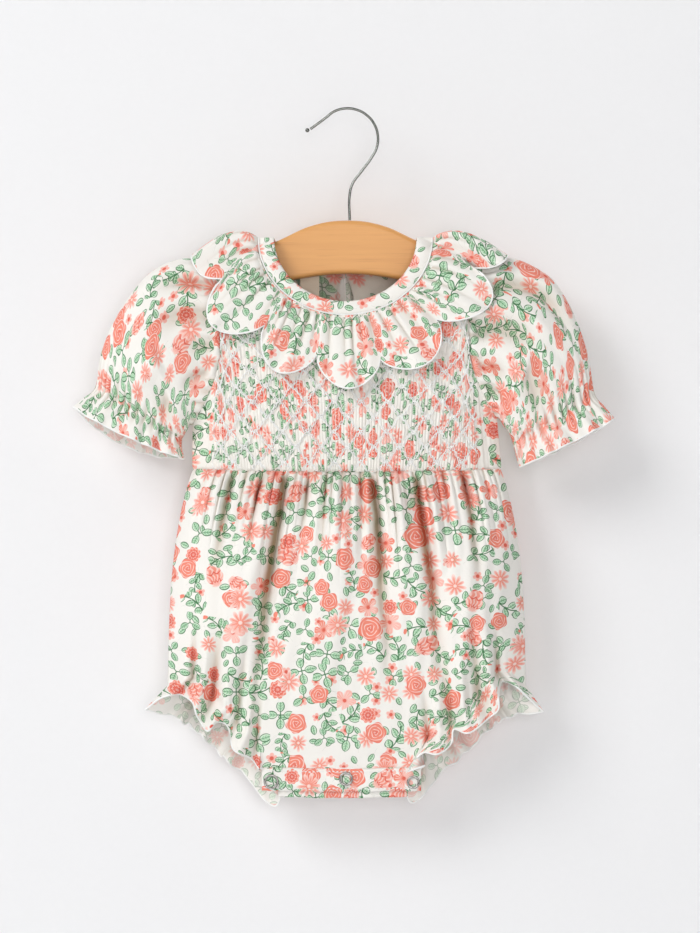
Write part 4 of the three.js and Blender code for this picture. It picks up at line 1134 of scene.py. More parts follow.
# %% The collar ruffle
EDGE_COUNTED = 0.82
COLLAR_CUT_PLACE = 640
COLLAR_SHADE = 0.85
collar_share = np.linspace(0, 1, COLLAR_ROWS + 1)[None, :]
front, across, angle = neck_turn(collar_turn)
seam = neck_points(collar_turn, NECK["half"] + 0.4, NECK["drop"]["front"], NECK["drop"]["back"], 0)
near_shoulder = np.abs(np.cos(collar_turn * 2 * math.pi)) ** 6
collar_x = mix(seam[..., 0], collar_edge[:, :1], collar_share)
collar_rise = COLLAR_SHOULDER_RISE * np.sin(math.pi * collar_share**0.8) * near_shoulder
collar_z = mix(seam[..., 2], collar_edge[:, 1:], collar_share) + collar_rise
gather_phase = collar_turn * COLLAR_GATHERS + 0.4 * uneven(collar_turn * 37, 2)
gather_size = 0.7 + 0.3 * uneven(np.floor(gather_phase) * 1.1, 5)
gather_fade = ease(collar_share / 0.08) * np.maximum(0, 1 - collar_share) ** 1.2
gather_shape = 2 * np.abs(np.cos(math.pi * gather_phase)) ** 0.8 - 1
collar_relief = COLLAR_GATHER * gather_size * gather_shape * gather_fade
broad_phase = collar_turn * COLLAR_BROAD["waves"] + 0.5 * uneven(collar_turn * 21, 8)
broad = np.cos(2 * math.pi * broad_phase)
collar_relief = collar_relief + COLLAR_BROAD["height"] * broad * collar_share
stand = 1 + COLLAR_LIFT * ease(collar_share / 0.12) + COLLAR_STAND * collar_share
collar_depth = depth_at(front, collar_x, collar_z) + stand + COLLAR_WAVE * collar_swell * collar_share
collar_depth = (collar_depth + collar_relief) * np.sin(across * math.pi / 2)
collar_points = np.stack([collar_x, np.where(front, -1, 1) * collar_depth, collar_z], axis=-1)
collar_along = lengths(collar_points, 0)[:, -1:] * EDGE_COUNTED + 0 * collar_share
collar_down = COLLAR_CUT_PLACE - lengths(collar_points, 1)
collar_flat = np.stack([collar_along, collar_down], axis=-1)
collar_shade = (1 - np.abs(np.cos(math.pi * gather_phase - 0.25))) ** 1.4 * gather_fade * gather_size
collar_shade = COLLAR_SHADE * collar_shade
collar = sheet_mesh("collar_frill", collar_points, collar_flat, "front", shade=collar_shade)
thicken(collar, CLOTH)
print("collar edge:", round(float(lengths(collar_points, 0)[-1, -1])), "mm long")

# %% [markdown]
# Hems of the collar, the cuffs and the leg ruffles are finished with a rolled edge in
# white thread, which shows as a pale line round every scallop.

# %% Rolled edges
EDGE_RADIUS = 0.65
collar_roll = cord_mesh("collar_edge", [collar_points[:, -1]], EDGE_RADIUS)
body_rolls = {}
for face in ("front", "back"):
    body_rolls[face] = cord_mesh("hem_edge_" + face, [body_points[face][:, -1]], EDGE_RADIUS)
sleeve_rolls = {}
for side in ("left", "right"):
    sleeve_rolls[side] = cord_mesh("cuff_edge_" + side, [sleeve_grids[side][:, -1]], EDGE_RADIUS)
print("rolled edges: collar, two body panels, two cuffs")

# %% [markdown]
# Two flat bands close the crotch. Open-ring snaps are pressed through the front one, and
# two rows of short stitches hold its folded edges.

# %% Crotch bands
PLACKETS = {
    "front": {"left": -55.5, "right": 47.6, "top": -426.6, "bottom": -441.5, "y": -7.6, "thick": 2},
    "back": {"left": -45, "right": 39, "top": -430.5, "bottom": -445.7, "y": -5, "thick": 1.6},
}
BAND_GRID = (160, 16)
BAND_CUT_PLACE = (300, 900)


def placket_sheet(face):
    spec = PLACKETS[face]
    share = np.linspace(0, 1, BAND_GRID[0] + 1)[:, None]
    rise = np.linspace(0, 1, BAND_GRID[1] + 1)[None, :]
    x = mix(spec["left"], spec["right"], share)
    sag = -1.2 * np.sin(math.pi * share) + 0.5 * uneven(share * 11, 5)
    z = mix(spec["bottom"], spec["top"], rise) + sag * 0.6
    corner = ease(share / 0.03) * ease((1 - share) / 0.03)
    edge = np.sin(math.pi * rise) ** 0.3
    bulge = spec["thick"] * (0.35 + 0.65 * edge * corner) + 0.35 * uneven(share * 19 + rise, 7)
    y = spec["y"] - bulge
    grid = np.stack(np.broadcast_arrays(x, y, z), axis=-1)
    flat = np.stack(np.broadcast_arrays(x + BAND_CUT_PLACE[0], z + BAND_CUT_PLACE[1]), axis=-1)
    piece = sheet_mesh("crotch_band_" + face, grid, flat, "front")
    return thicken(piece, CLOTH), grid


placket_front, placket_front_grid = placket_sheet("front")
placket_back = placket_sheet("back")[0]
STITCH = {"columns": 3, "lift": 0.25, "radius": 0.3, "rows": (2, 14), "from": 3, "to": 156}
stitch_lift = (0, CLOTH / 2 + STITCH["lift"], 0)
stitch_paths = []
for row in STITCH["rows"]:
    for start in range(STITCH["from"], STITCH["to"], STITCH["columns"] + 1):
        stitch = placket_front_grid[start:start + STITCH["columns"], row]
        stitch_paths.append(stitch - stitch_lift)
band_stitches = cord_mesh("band_stitches", stitch_paths, STITCH["radius"])
print("bands:", placket_front.name, placket_back.name)

# %% [markdown]
# The board and the wire of the hanger, and the thread loop, all follow a smooth line. It
# is drawn through a few spots, as a flexible ruler is bent round pins.

# %% Smooth lines through listed spots
def bezier_through(name, spots):
    """A smooth line through spots in millimetres, made the active object."""
    bpy.ops.object.select_all(action="DESELECT")
    bpy.ops.curve.primitive_bezier_curve_add(location=(0, 0, 0))
    piece = bpy.context.object
    piece.name = name
    line = piece.data.splines[0]
    line.bezier_points.add(len(spots) - 2)
    for knot, spot in zip(line.bezier_points, spots):
        knot.co = [value * MM for value in spot]
        knot.handle_left_type = "AUTO"
        knot.handle_right_type = "AUTO"
    return piece


def to_mesh(piece, angle):
    bpy.ops.object.convert(target="MESH")
    bpy.ops.object.shade_smooth_by_angle(angle=math.radians(angle))
    return piece


def round_wire(name, spots, radius):
    piece = bezier_through(name, spots)
    piece.data.bevel_depth = radius * MM
    piece.data.bevel_resolution = 4
    piece.data.resolution_u = 10
    piece.data.use_fill_caps = True
    return to_mesh(piece, 50)


print("lines become wires")

# %% [markdown]
# The hanger is a small arched board of beech with rounded edges, sawn from one plank. It is
# a filled outline here, given its thickness and its round edge, which is how a router would
# cut it.

# %% The wooden arch
WOOD = {"depth": 11, "round": 3}
WOOD_TOP = [(0, -72), (22, -75), (44, -84.6), (58, -90.8), (82, -104.2), (100, -112.8), (117, -121.5)]
WOOD_BOTTOM = [(114, -128.5), (98, -126), (70, -119), (36, -110.6), (0, -106.5)]


def mirrored(rows):
    return [(-x, z) for x, z in reversed(rows) if x > 0]


wood_outline = mirrored(WOOD_TOP) + WOOD_TOP + WOOD_BOTTOM + mirrored(WOOD_BOTTOM)
wood = bezier_through("beech_arch", [(x, z, 0) for x, z in wood_outline])
wood.data.dimensions = "2D"
wood.data.fill_mode = "BOTH"
wood.data.splines[0].use_cyclic_u = True
wood.data.resolution_u = 8
wood.data.extrude = (WOOD["depth"] / 2 - WOOD["round"]) * MM
wood.data.bevel_depth = WOOD["round"] * MM
wood.data.bevel_resolution = 5
wood.data.offset = -WOOD["round"] * MM
wood.rotation_euler = (math.pi / 2, 0, 0)
to_mesh(wood, 35)
bpy.ops.object.transform_apply(location=True, rotation=True, scale=True)
print("wood faces:", len(wood.data.polygons))

# %% [markdown]
# The hook is one bent wire with a round section. Most of it is an arc, so its spots come
# from a circle, and a small ball blunts its end.

# %% The wire hook and its ball end
HOOK = {"radius": 19.8, "z": -18.7, "from": 138, "to": -38, "steps": 8}
HOOK_END = {"x": -24.2, "z": -12.4}
HOOK_BALL = {"x": -26.1, "z": -13.1, "radius": 1.4}
HOOK_STEM = [(8.9, -40), (3.2, -48), (1.4, -55), (1.4, -71.6)]
WIRE_RADIUS = 0.85
hook_angles = np.radians(np.linspace(HOOK["from"], HOOK["to"], HOOK["steps"] + 1))
hook_spots = [(HOOK_END["x"], 0, HOOK_END["z"])]
for angle in hook_angles:
    arc_x = HOOK["radius"] * math.cos(angle)
    hook_spots.append((arc_x, 0, HOOK["z"] + HOOK["radius"] * math.sin(angle)))
hook_spots += [(x, 0, z) for x, z in HOOK_STEM]
hook = round_wire("wire_hook", hook_spots, WIRE_RADIUS)
bpy.ops.object.select_all(action="DESELECT")
bpy.ops.mesh.primitive_uv_sphere_add(
    segments=24, ring_count=16, radius=HOOK_BALL["radius"] * MM,
    location=(HOOK_BALL["x"] * MM, 0, HOOK_BALL["z"] * MM),
)
hook_ball = bpy.context.object
hook_ball.name = "hook_ball"
bpy.ops.object.transform_apply(location=True, rotation=True, scale=True)
bpy.ops.object.shade_smooth()
print("hook faces:", len(hook.data.polygons))

# %% [markdown]
# Each snap is an open ring cap: a pressed metal ring, round outside, with a thin lip round
# its hole. The cloth of the band shows through the hole. Two rings of different size,
# flattened and joined, give that section.

# %% Snap caps
SNAPS = {
    "left": {"x": -49.4, "z": -435.6, "outer": 4.9},
    "middle": {"x": -1, "z": -433.8, "outer": 4.6},
    "right": {"x": 42.6, "z": -436, "outer": 4.3},
}
SNAP_WALL = 1.3
SNAP_FLAT = 0.75
SNAP_LIP = {"sunk": 0.1, "thick": 0.45, "flat": 0.8}


def metal_ring(x, y, z, middle, thick, flat):
    bpy.ops.object.select_all(action="DESELECT")
    bpy.ops.mesh.primitive_torus_add(
        major_segments=48, minor_segments=14, major_radius=middle * MM, minor_radius=thick * MM,
        location=(x * MM, y * MM, z * MM), rotation=(math.pi / 2, 0, 0),
    )
    ring = bpy.context.object
    ring.scale = (1, 1, flat)
    bpy.ops.object.transform_apply(location=True, rotation=True, scale=True)
    bpy.ops.object.shade_smooth()
    return ring


snap_pieces = {}
band_face = float(placket_front_grid[..., 1].min()) - CLOTH / 2
for name, spec in SNAPS.items():
    thick = SNAP_WALL / 2
    y = band_face - thick * SNAP_FLAT
    lip_middle = spec["outer"] - SNAP_WALL
    lip_thick = thick * SNAP_LIP["thick"]
    lip_y = y + SNAP_LIP["sunk"]
    lip = metal_ring(spec["x"], lip_y, spec["z"], lip_middle, lip_thick, SNAP_LIP["flat"])
    cap = metal_ring(spec["x"], y, spec["z"], spec["outer"] - thick, thick, SNAP_FLAT)
    lip.select_set(True)
    bpy.ops.object.join()
    cap.name = "ring_snap_" + name
    snap_pieces[name] = cap
print("snap caps:", len(snap_pieces))

# %% [markdown]
# Inside the back of the neck hangs a bare tape label, curling a little at its lower corners.
# Behind, a small pearl button and a thread loop close the neckband over the keyhole.

# %% Label, button and loop
LABEL = {"left": -31, "right": -18.5, "top": -99.5, "bottom": -121.7}
TAPE = {"thick": 0.5, "curl": 0.7, "gap": 0.9}
label_share = np.linspace(0, 1, 25)[:, None]
label_fall = np.linspace(0, 1, 33)[None, :]
label_x = mix(LABEL["left"], LABEL["right"], label_share) + 0 * label_fall
label_z = mix(LABEL["top"], LABEL["bottom"], label_fall) + 0 * label_share
label_curl = TAPE["curl"] * label_fall**3 * (2 * label_share - 1) ** 2
label_y = bodice_depth(label_x, label_z, "back") - TAPE["gap"] - label_curl
label_points = np.stack([label_x, label_y, label_z], axis=-1)
label = sheet_mesh("bare_label", label_points, flat_place(label_points, 0), "back")
thicken(label, TAPE["thick"])

BUTTON = {"x": 2.4, "z": -94.2, "radius": 3.4, "shank": 1.2, "rise": 1.6, "thick": 0.9}
LOOP = {"radius": 0.5, "start": -4.2, "spread": 1.2, "curve": 2}
near_button = (np.abs(band_points[..., 0]) < 6) & (band_points[..., 1] > 0)
band_back_y = float(band_points[..., 1][near_button].max()) + CLOTH / 2 + 0.1
bpy.ops.object.select_all(action="DESELECT")
bpy.ops.mesh.primitive_cylinder_add(
    vertices=24, radius=BUTTON["shank"] * MM, depth=BUTTON["rise"] * MM,
    location=(BUTTON["x"] * MM, (band_back_y + BUTTON["rise"] / 2) * MM, BUTTON["z"] * MM),
    rotation=(math.pi / 2, 0, 0),
)
shank = bpy.context.object
bpy.ops.object.select_all(action="DESELECT")
bpy.ops.mesh.primitive_uv_sphere_add(
    segments=32, ring_count=16, radius=BUTTON["radius"] * MM,
    location=(BUTTON["x"] * MM, (band_back_y + BUTTON["rise"] + BUTTON["thick"]) * MM, BUTTON["z"] * MM),
)
button = bpy.context.object
button.scale = (1, BUTTON["thick"] / BUTTON["radius"], 1)
shank.select_set(True)
bpy.ops.object.join()
bpy.ops.object.transform_apply(location=True, rotation=True, scale=True)
bpy.ops.object.shade_smooth_by_angle(angle=math.radians(40))
button.name = "pearl_button"
loop_y = band_back_y + LOOP["radius"]
loop_turn = BUTTON["shank"] + LOOP["radius"] + 0.3
loop_side = BUTTON["x"] - LOOP["curve"]
loop = round_wire("thread_loop", [
    (LOOP["start"], loop_y, BUTTON["z"] + LOOP["spread"]),
    (loop_side, loop_y, BUTTON["z"] + loop_turn),
    (BUTTON["x"], loop_y, BUTTON["z"] + loop_turn),
    (BUTTON["x"] + loop_turn, loop_y, BUTTON["z"]),
    (BUTTON["x"], loop_y, BUTTON["z"] - loop_turn),
    (loop_side, loop_y, BUTTON["z"] - loop_turn),
    (LOOP["start"], loop_y, BUTTON["z"] - LOOP["spread"]),
], LOOP["radius"])
print("label, button and loop made")

# %% [markdown]
# The cloth is printed with a loose scatter of roses, daisies, blossoms and leaves. Each
# kind of motif is a small formula: how far a point is from the motif's middle and in what
# direction decides its colour. Arithmetic on a Wire adds maths nodes, so that a formula
# reads as it would on paper.

# %% Arithmetic that builds nodes
def feed(tree, socket, value):
    if isinstance(value, Wire):
        tree.links.new(value.socket, socket)
    elif isinstance(value, bpy.types.NodeSocket):
        tree.links.new(value, socket)
    else:
        socket.default_value = value


class Wire:
    """A number in a node tree. Arithmetic on it adds maths nodes to the tree."""

    def __init__(self, tree, socket):
        self.tree = tree
        self.socket = socket

    def do(self, operation, *others, limit=False, first=None):
        node = self.tree.nodes.new("ShaderNodeMath")
        node.operation = operation
        node.use_clamp = limit
        values = [self, *others] if first is None else [first, self]
        for socket, value in zip(node.inputs, values):
            feed(self.tree, socket, value)
        return Wire(self.tree, node.outputs[0])

    def __add__(self, other):
        return self.do("ADD", other)

    def __radd__(self, other):
        return self.do("ADD", other)

    def __sub__(self, other):
        return self.do("SUBTRACT", other)

    def __rsub__(self, other):
        return self.do("SUBTRACT", first=other)

    def __mul__(self, other):
        return self.do("MULTIPLY", other)

    def __rmul__(self, other):
        return self.do("MULTIPLY", other)

    def __truediv__(self, other):
        return self.do("DIVIDE", other)

    def __abs__(self):
        return self.do("ABSOLUTE")

    def power(self, other):
        return self.do("POWER", other)

    def sine(self):
        return self.do("SINE")

    def part(self):
        return self.do("FRACT")

    def under(self, edge, soft=0.18):
        """1 where the number is under the edge and 0 over it, with a soft step between."""
        return ((edge - self) / soft).do("ADD", 0.5, limit=True)

    def most(self, other):
        return self.do("MAXIMUM", other)


print("arithmetic on nodes is ready")

# %% [markdown]
# The print has few inks: corals, pinks and greens, with a dark green outline, on a warm
# white ground. Colours are written as a screen shows them and turned into amounts of
# light.

# %% Inks and how they blend
def blend(tree, share, low, high, way="MIX"):
    node = tree.nodes.new("ShaderNodeMix")
    node.data_type = "RGBA"
    node.blend_type = way
    feed(tree, node.inputs["Factor"], share)
    feed(tree, node.inputs[6], low)
    feed(tree, node.inputs[7], high)
    return node.outputs[2]


def paint(red, green, blue):
    """A screen colour, 0 to 255, as the linear colour that shaders use."""
    shares = [value / 255 for value in (red, green, blue)]
    return (*[((v + 0.055) / 1.055) ** 2.4 if v > 0.04 else v / 12.92 for v in shares], 1)


PAINT = {
    "ground": paint(246, 243, 237),
    "coral": paint(243, 142, 122),
    "deep": paint(229, 108, 92),
    "pink": paint(250, 190, 178),
    "blush": paint(253, 222, 213),
    "leaf": paint(128, 184, 138),
    "mint": paint(166, 211, 171),
    "outline": paint(74, 126, 84),
    "pale_leaf": paint(222, 238, 218),
    # not an ink: the warm grey of the painted shade that darkens the cloth deep in folds, gathers and
    # creases
    "fold": paint(190, 168, 142),
}
print("inks:", ", ".join(PAINT))

# %% [markdown]
# Flowers. A rose is a disc with pale rings that wind into a spiral. A daisy has ten thin
# petals, a blossom five broad ones with veins, and a pompon many small scalloped rows.

# %% Flower motifs
def rose(tree, x, y, away, angle, chance):
    edge = 6.7 + 0.55 * (angle * 5 + 1).sine()
    wobble = 0.16 * (angle * 3 + away * 0.9).sine()
    winding = away * 0.52 - angle / (2 * math.pi) + wobble
    broken = (angle * 2 + away * 1.5).sine().under(0.85, 0.4)
    ring = abs(winding.part() - 0.5).under(0.12, 0.12) * broken
    inked = blend(tree, away.under(1.6, 1.8) * 0.6, PAINT["coral"], PAINT["deep"])
    inked = blend(tree, (1 - away.under(edge - 0.8, 0.3)) * 0.4, inked, PAINT["deep"])
    return away.under(edge), blend(tree, ring, inked, PAINT["blush"])


def daisy(tree, x, y, away, angle, chance):
    petal = abs((angle * 5).sine())
    wide = ((petal - 0.16) / 0.84).do("MAXIMUM", 0).power(0.42)
    edge = 1.5 + (5.2 + 0.7 * (angle * 3).sine()) * wide
    stripe = (1 - petal.under(0.9, 0.12)) * away.under(5.0, 2.6)
    inner = away.under(2.6, 1.8)
    pale = blend(tree, (away - 1.2).under(4.1, 2.2), PAINT["blush"], PAINT["pink"])
    body = blend(tree, stripe.most(inner) * 0.8, pale, PAINT["coral"])
    return away.under(edge, 0.3), blend(tree, away.under(1.0, 0.3), body, PAINT["blush"])


def blossom(tree, x, y, away, angle, chance):
    petal = abs((angle * 2.5).sine()).power(0.45)
    edge = 1.9 + 5.6 * petal
    vein = (angle * 20 + away * 0.5).sine().under(-0.3, 0.6) * away.under(6.2, 1)
    fade = (angle * 0.5 + chance * 6).sine().under(0.1, 1.2)
    body = blend(tree, fade, PAINT["coral"], PAINT["pink"])
    body = blend(tree, vein * (1 - away.under(1.9, 0.5)) * 0.7, body, PAINT["blush"])
    return away.under(edge, 0.25), blend(tree, away.under(1.2, 0.5), body, PAINT["deep"])


def pompon(tree, x, y, away, angle, chance):
    edge = 5.4 + 0.4 * (angle * 9).sine()
    row = (away * 0.5 + 0.4 * abs((angle * 5 + away).sine())).part()
    line = abs(row - 0.5).under(0.13, 0.12)
    inked = blend(tree, away.under(3.6, 2), PAINT["coral"], PAINT["deep"])
    return away.under(edge), blend(tree, line * 0.7, inked, PAINT["blush"])


def bloom(tree, x, y, away, angle, chance):
    """A large flower seen from its side, with streaks that fan out of its foot."""
    fan = x.do("ARCTAN2", y + 8)
    oval = (x * x * 0.036 + y * y * 0.018).power(0.5)
    edge = 0.9 + 0.14 * abs((fan * 7).sine())
    streak = (fan * 22 + (y * 1.3).sine()).sine().under(-0.35, 0.5)
    row = abs((y * 0.19 + 0.35 * abs((fan * 7).sine())).part() - 0.5).under(0.09, 0.06)
    inked = blend(tree, oval.under(0.8, 0.4) * 0.8, PAINT["pink"], PAINT["coral"])
    inked = blend(tree, streak * 0.8, inked, PAINT["blush"])
    return oval.under(edge, 0.03), blend(tree, row, inked, PAINT["deep"])


print("flower motifs: rose, daisy, blossom, pompon, bloom")

# %% [markdown]
# Leaves are pointed ovals with a dark outline and pale veins. Folding the plane along one
# line draws a leaf on each side of a stem at once.

# %% Leaf motifs
def leaf(x, y, length, width):
    """Cover, outline and vein of one leaf that runs from the origin along x."""
    share = (x / length).do("ADD", 0, limit=True)
    half = width * (4 * share * (1 - share)).power(0.62)
    gap = abs(y) - half
    outline = 1 - gap.under(-0.46 - 0.2 * y.under(0, 0.5), 0.2)
    rim = (1 - gap.under(-1.15, 0.3)) * (1 - y.under(0.1, 0.3) * 0.6)
    vein = abs(((x - abs(y) * 0.9) * 0.6).part() - 0.5).under(0.15, 0.12)
    rib = abs(y).under(0.2, 0.14)
    return gap.under(0, 0.15), outline, rim.most(vein * (1 - rib)), rib


def turned(x, y, degrees):
    """The place seen from an axis that is turned by some degrees."""
    cosine = math.cos(math.radians(degrees))
    sine = math.sin(math.radians(degrees))
    return x * cosine + y * sine, y * cosine - x * sine


def inked_leaf(tree, dark, vein, chance):
    fill = blend(tree, chance, PAINT["leaf"], PAINT["mint"])
    body = blend(tree, vein * 0.9, fill, PAINT["pale_leaf"])
    return blend(tree, dark, body, PAINT["outline"])


def leaf_group(tree, x, y, away, angle, chance):
    """Three or four leaves round a joint, by folding the plane into equal slices."""
    count = (chance * 1.5 + 2.6).do("ROUND")
    turn = angle * count / (2 * math.pi)
    slice_angle = (turn - turn.do("ROUND")) / count * 2 * math.pi
    along_leaf = away * slice_angle.do("COSINE")
    beside = away * slice_angle.sine()
    cover, outline, vein, rib = leaf(along_leaf - 1.9, beside, 7.2, 2.6)
    stem = abs(beside).under(0.34, 0.15) * away.under(2.4, 0.3)
    dark = outline.most(rib * 0.7).most(stem)
    return cover.most(stem), inked_leaf(tree, dark, vein, chance)


def sprig(tree, x, y, away, angle, chance):
    bend = y - 0.035 * x * x + 1
    stem = abs(bend).under(0.34, 0.15) * abs(x).under(8.2, 0.4)
    step = 7.4
    local = ((x + 8.6 + y.under(0, 0.01) * 2.6) / step).part() * step
    near_x, near_y = turned(local - 0.2, abs(bend), 48)
    cover, outline, vein, rib = leaf(near_x - 0.6, near_y, 6.4, 2.2)
    kept = cover * abs(x + 0.4).under(8.0, 0.3)
    berry_away = ((x - 9.2) * (x - 9.2) + bend * bend).power(0.5)
    berry = berry_away.under(1.7, 0.25)
    green = inked_leaf(tree, outline.most(rib * 0.7).most(stem), vein, chance)
    return kept.most(stem).most(berry), blend(tree, berry, green, PAINT["coral"])


def single_leaf(tree, x, y, away, angle, chance):
    cover, outline, vein, rib = leaf(x + 3.2, y, 6.4, 2.0)
    return cover, inked_leaf(tree, outline.most(rib * 0.7), vein, chance)


def bud(tree, x, y, away, angle, chance):
    petal = abs((angle * 2.5).sine()).power(0.5)
    body = blend(tree, away.under(1.3, 0.6), PAINT["pink"], PAINT["deep"])
    return away.under(1.5 + 2.0 * petal, 0.25), body


print("leaf motifs: leaf group, sprig, single leaf, bud")

# %% [markdown]
# One layer of the print drops one motif into every cell of a loose grid, turned and sized
# by chance, and picks the kind of motif by chance too. Layers of flowers lie over layers
# of leaves, as on a real print, so that a flower covers part of a leaf behind it.

# %% Motifs as node groups and layers
def motif_group(formula):
    tree = bpy.data.node_groups.new("motif " + formula.__name__.replace("_", " "), "ShaderNodeTree")
    names = ["x", "y", "away", "angle", "chance"]
    for name in names:
        tree.interface.new_socket(name, in_out="INPUT", socket_type="NodeSocketFloat")
    tree.interface.new_socket("cover", in_out="OUTPUT", socket_type="NodeSocketFloat")
    tree.interface.new_socket("colour", in_out="OUTPUT", socket_type="NodeSocketColor")
    start = tree.nodes.new("NodeGroupInput")
    end = tree.nodes.new("NodeGroupOutput")
    cover, colour = formula(tree, *[Wire(tree, start.outputs[name]) for name in names])
    feed(tree, end.inputs["cover"], cover)
    feed(tree, end.inputs["colour"], colour)
    return tree


MOTIFS = {
    formula.__name__: motif_group(formula)
    for formula in (rose, daisy, blossom, pompon, bloom, leaf_group, sprig, single_leaf, bud)
}


LEAST_SIZE = 0.78
SIZE_SPREAD = 0.3


def print_layer(tree, x, y, under, cell, shift, choices, size=1.0, keep=1.0, loose=0.75):
    """Scatters motifs over the colour `under`; choices are (upper chance, motif name)."""
    place = tree.nodes.new("ShaderNodeCombineXYZ")
    feed(tree, place.inputs["X"], x + shift[0])
    feed(tree, place.inputs["Y"], y + shift[1])
    cells = tree.nodes.new("ShaderNodeTexVoronoi")
    cells.voronoi_dimensions = "2D"
    cells.inputs["Scale"].default_value = 1 / cell
    cells.inputs["Randomness"].default_value = loose
    tree.links.new(place.outputs[0], cells.inputs["Vector"])
    offset = tree.nodes.new("ShaderNodeVectorMath")
    offset.operation = "SUBTRACT"
    tree.links.new(place.outputs[0], offset.inputs[0])
    tree.links.new(cells.outputs["Position"], offset.inputs[1])
    chances = tree.nodes.new("ShaderNodeSeparateColor")
    tree.links.new(cells.outputs["Color"], chances.inputs[0])
    pick, spin, tone = [Wire(tree, socket) for socket in chances.outputs]
    rotate = tree.nodes.new("ShaderNodeVectorRotate")
    rotate.rotation_type = "Z_AXIS"
    tree.links.new(offset.outputs[0], rotate.inputs["Vector"])
    feed(tree, rotate.inputs["Angle"], spin * 2 * math.pi)
    split = tree.nodes.new("ShaderNodeSeparateXYZ")
    tree.links.new(rotate.outputs[0], split.inputs[0])
    scale = size * (LEAST_SIZE + tone * SIZE_SPREAD)
    local_x = Wire(tree, split.outputs["X"]) / scale
    local_y = Wire(tree, split.outputs["Y"]) / scale
    away = (local_x * local_x + local_y * local_y).power(0.5)
    angle = local_y.do("ARCTAN2", local_x)
    colour = under
    low = 0.0
    for high, name in choices:
        node = tree.nodes.new("ShaderNodeGroup")
        node.node_tree = MOTIFS[name]
        for socket, value in zip(node.inputs, (local_x, local_y, away, angle, tone)):
            feed(tree, socket, value)
        chosen = pick.do("GREATER_THAN", low) * pick.do("LESS_THAN", high * keep)
        shown = Wire(tree, node.outputs["cover"]) * chosen
        colour = blend(tree, shown, colour, node.outputs["colour"])
        low = high * keep
    return colour


print("motif groups:", len(MOTIFS))

# %% [markdown]
# The whole print, from the ground up: small leaves, then the main motifs, and a few large
# flowers over them. Each layer has its own cell size in millimetres, its own shift, and
# the share of its cells that it keeps.

# %% The floral print
MAIN = [
    (0.12, "rose"), (0.31, "daisy"), (0.38, "blossom"), (0.43, "pompon"), (0.48, "bloom"),
    (0.75, "leaf_group"), (1.0, "sprig"),
]
OVER = [(0.45, "rose"), (0.6, "bloom"), (1.0, "daisy")]
SMALL = [(0.72, "single_leaf"), (1.0, "bud")]
LAYERS = [
    {"cell": 9.6, "shift": (3, 5), "choices": SMALL, "keep": 0.74},
    {"cell": 14.6, "shift": (31, 17), "choices": MAIN, "keep": 0.95, "loose": 0.55},
    {"cell": 31, "shift": (47, 23), "choices": OVER, "size": 1.12, "keep": 0.6},
]


def flat_cloth(tree):
    """The place on the flat cloth, from the UV map of the sheet."""
    flat = tree.nodes.new("ShaderNodeUVMap")
    flat.uv_map = "flat_cloth"
    return flat.outputs[0]


def print_group():
    tree = bpy.data.node_groups.new("floral print", "ShaderNodeTree")
    tree.interface.new_socket("colour", in_out="OUTPUT", socket_type="NodeSocketColor")
    end = tree.nodes.new("NodeGroupOutput")
    split = tree.nodes.new("ShaderNodeSeparateXYZ")
    tree.links.new(flat_cloth(tree), split.inputs[0])
    x = Wire(tree, split.outputs["X"]) / MM
    y = Wire(tree, split.outputs["Y"]) / MM
    colour = PAINT["ground"]
    for layer in LAYERS:
        colour = print_layer(tree, x, y, colour, **layer)
    feed(tree, end.inputs["colour"], colour)
    return tree


FLORAL = print_group()
print("nodes in the print:", len(FLORAL.nodes))

# %% [markdown]
# No finish is one flat colour. Three helpers break a finish up: a place that is drawn out
# along the grain, a noise at that place, and a fine relief made from the noise.

# %% Grain and relief
GRAIN_DEPTH = 0.0002


def drawn_place(tree, stretch):
    """The place on the object, drawn out along its axes."""
    place = tree.nodes.new("ShaderNodeTexCoord")
    drawn = tree.nodes.new("ShaderNodeMapping")
    drawn.inputs["Scale"].default_value = stretch
    tree.links.new(place.outputs["Object"], drawn.inputs["Vector"])
    return drawn.outputs[0]


def noise_at(tree, place, scale, detail=2):
    noise = tree.nodes.new("ShaderNodeTexNoise")
    noise.inputs["Scale"].default_value = scale
    noise.inputs["Detail"].default_value = detail
    tree.links.new(place, noise.inputs["Vector"])
    return noise.outputs[0]


def add_relief(tree, height, strength, distance):
    relief = tree.nodes.new("ShaderNodeBump")
    relief.inputs["Strength"].default_value = strength
    relief.inputs["Distance"].default_value = distance
    tree.links.new(height, relief.inputs["Height"])
    tree.links.new(relief.outputs[0], tree.nodes["Principled BSDF"].inputs["Normal"])


def plain_material(name, colour, roughness, metallic=0.0):
    material = bpy.data.materials.new(name)
    material.use_nodes = True
    shader = material.node_tree.nodes["Principled BSDF"]
    shader.inputs["Base Color"].default_value = colour
    shader.inputs["Roughness"].default_value = roughness
    shader.inputs["Metallic"].default_value = metallic
    return material


def grained_material(
    name, colour, roughness, metallic=0.0, scale=900, stretch=(1, 1, 1), spread=0.1, bump=0.2
):
    """A plain finish broken up by a fine grain in its colour, its gloss and its surface."""
    material = plain_material(name, colour, roughness, metallic)
    tree = material.node_tree
    shader = tree.nodes["Principled BSDF"]
    grain = noise_at(tree, drawn_place(tree, stretch), scale, 3)
    share = Wire(tree, grain)
    darker = (*[value * (1 - spread) for value in colour[:3]], 1)
    tree.links.new(blend(tree, share.under(0.5, 0.5), colour, darker), shader.inputs["Base Color"])
    feed(tree, shader.inputs["Roughness"], share * roughness * 0.4 + roughness * 0.8)
    add_relief(tree, grain, bump, GRAIN_DEPTH)
    return material


print("a finish has its grain and its relief")
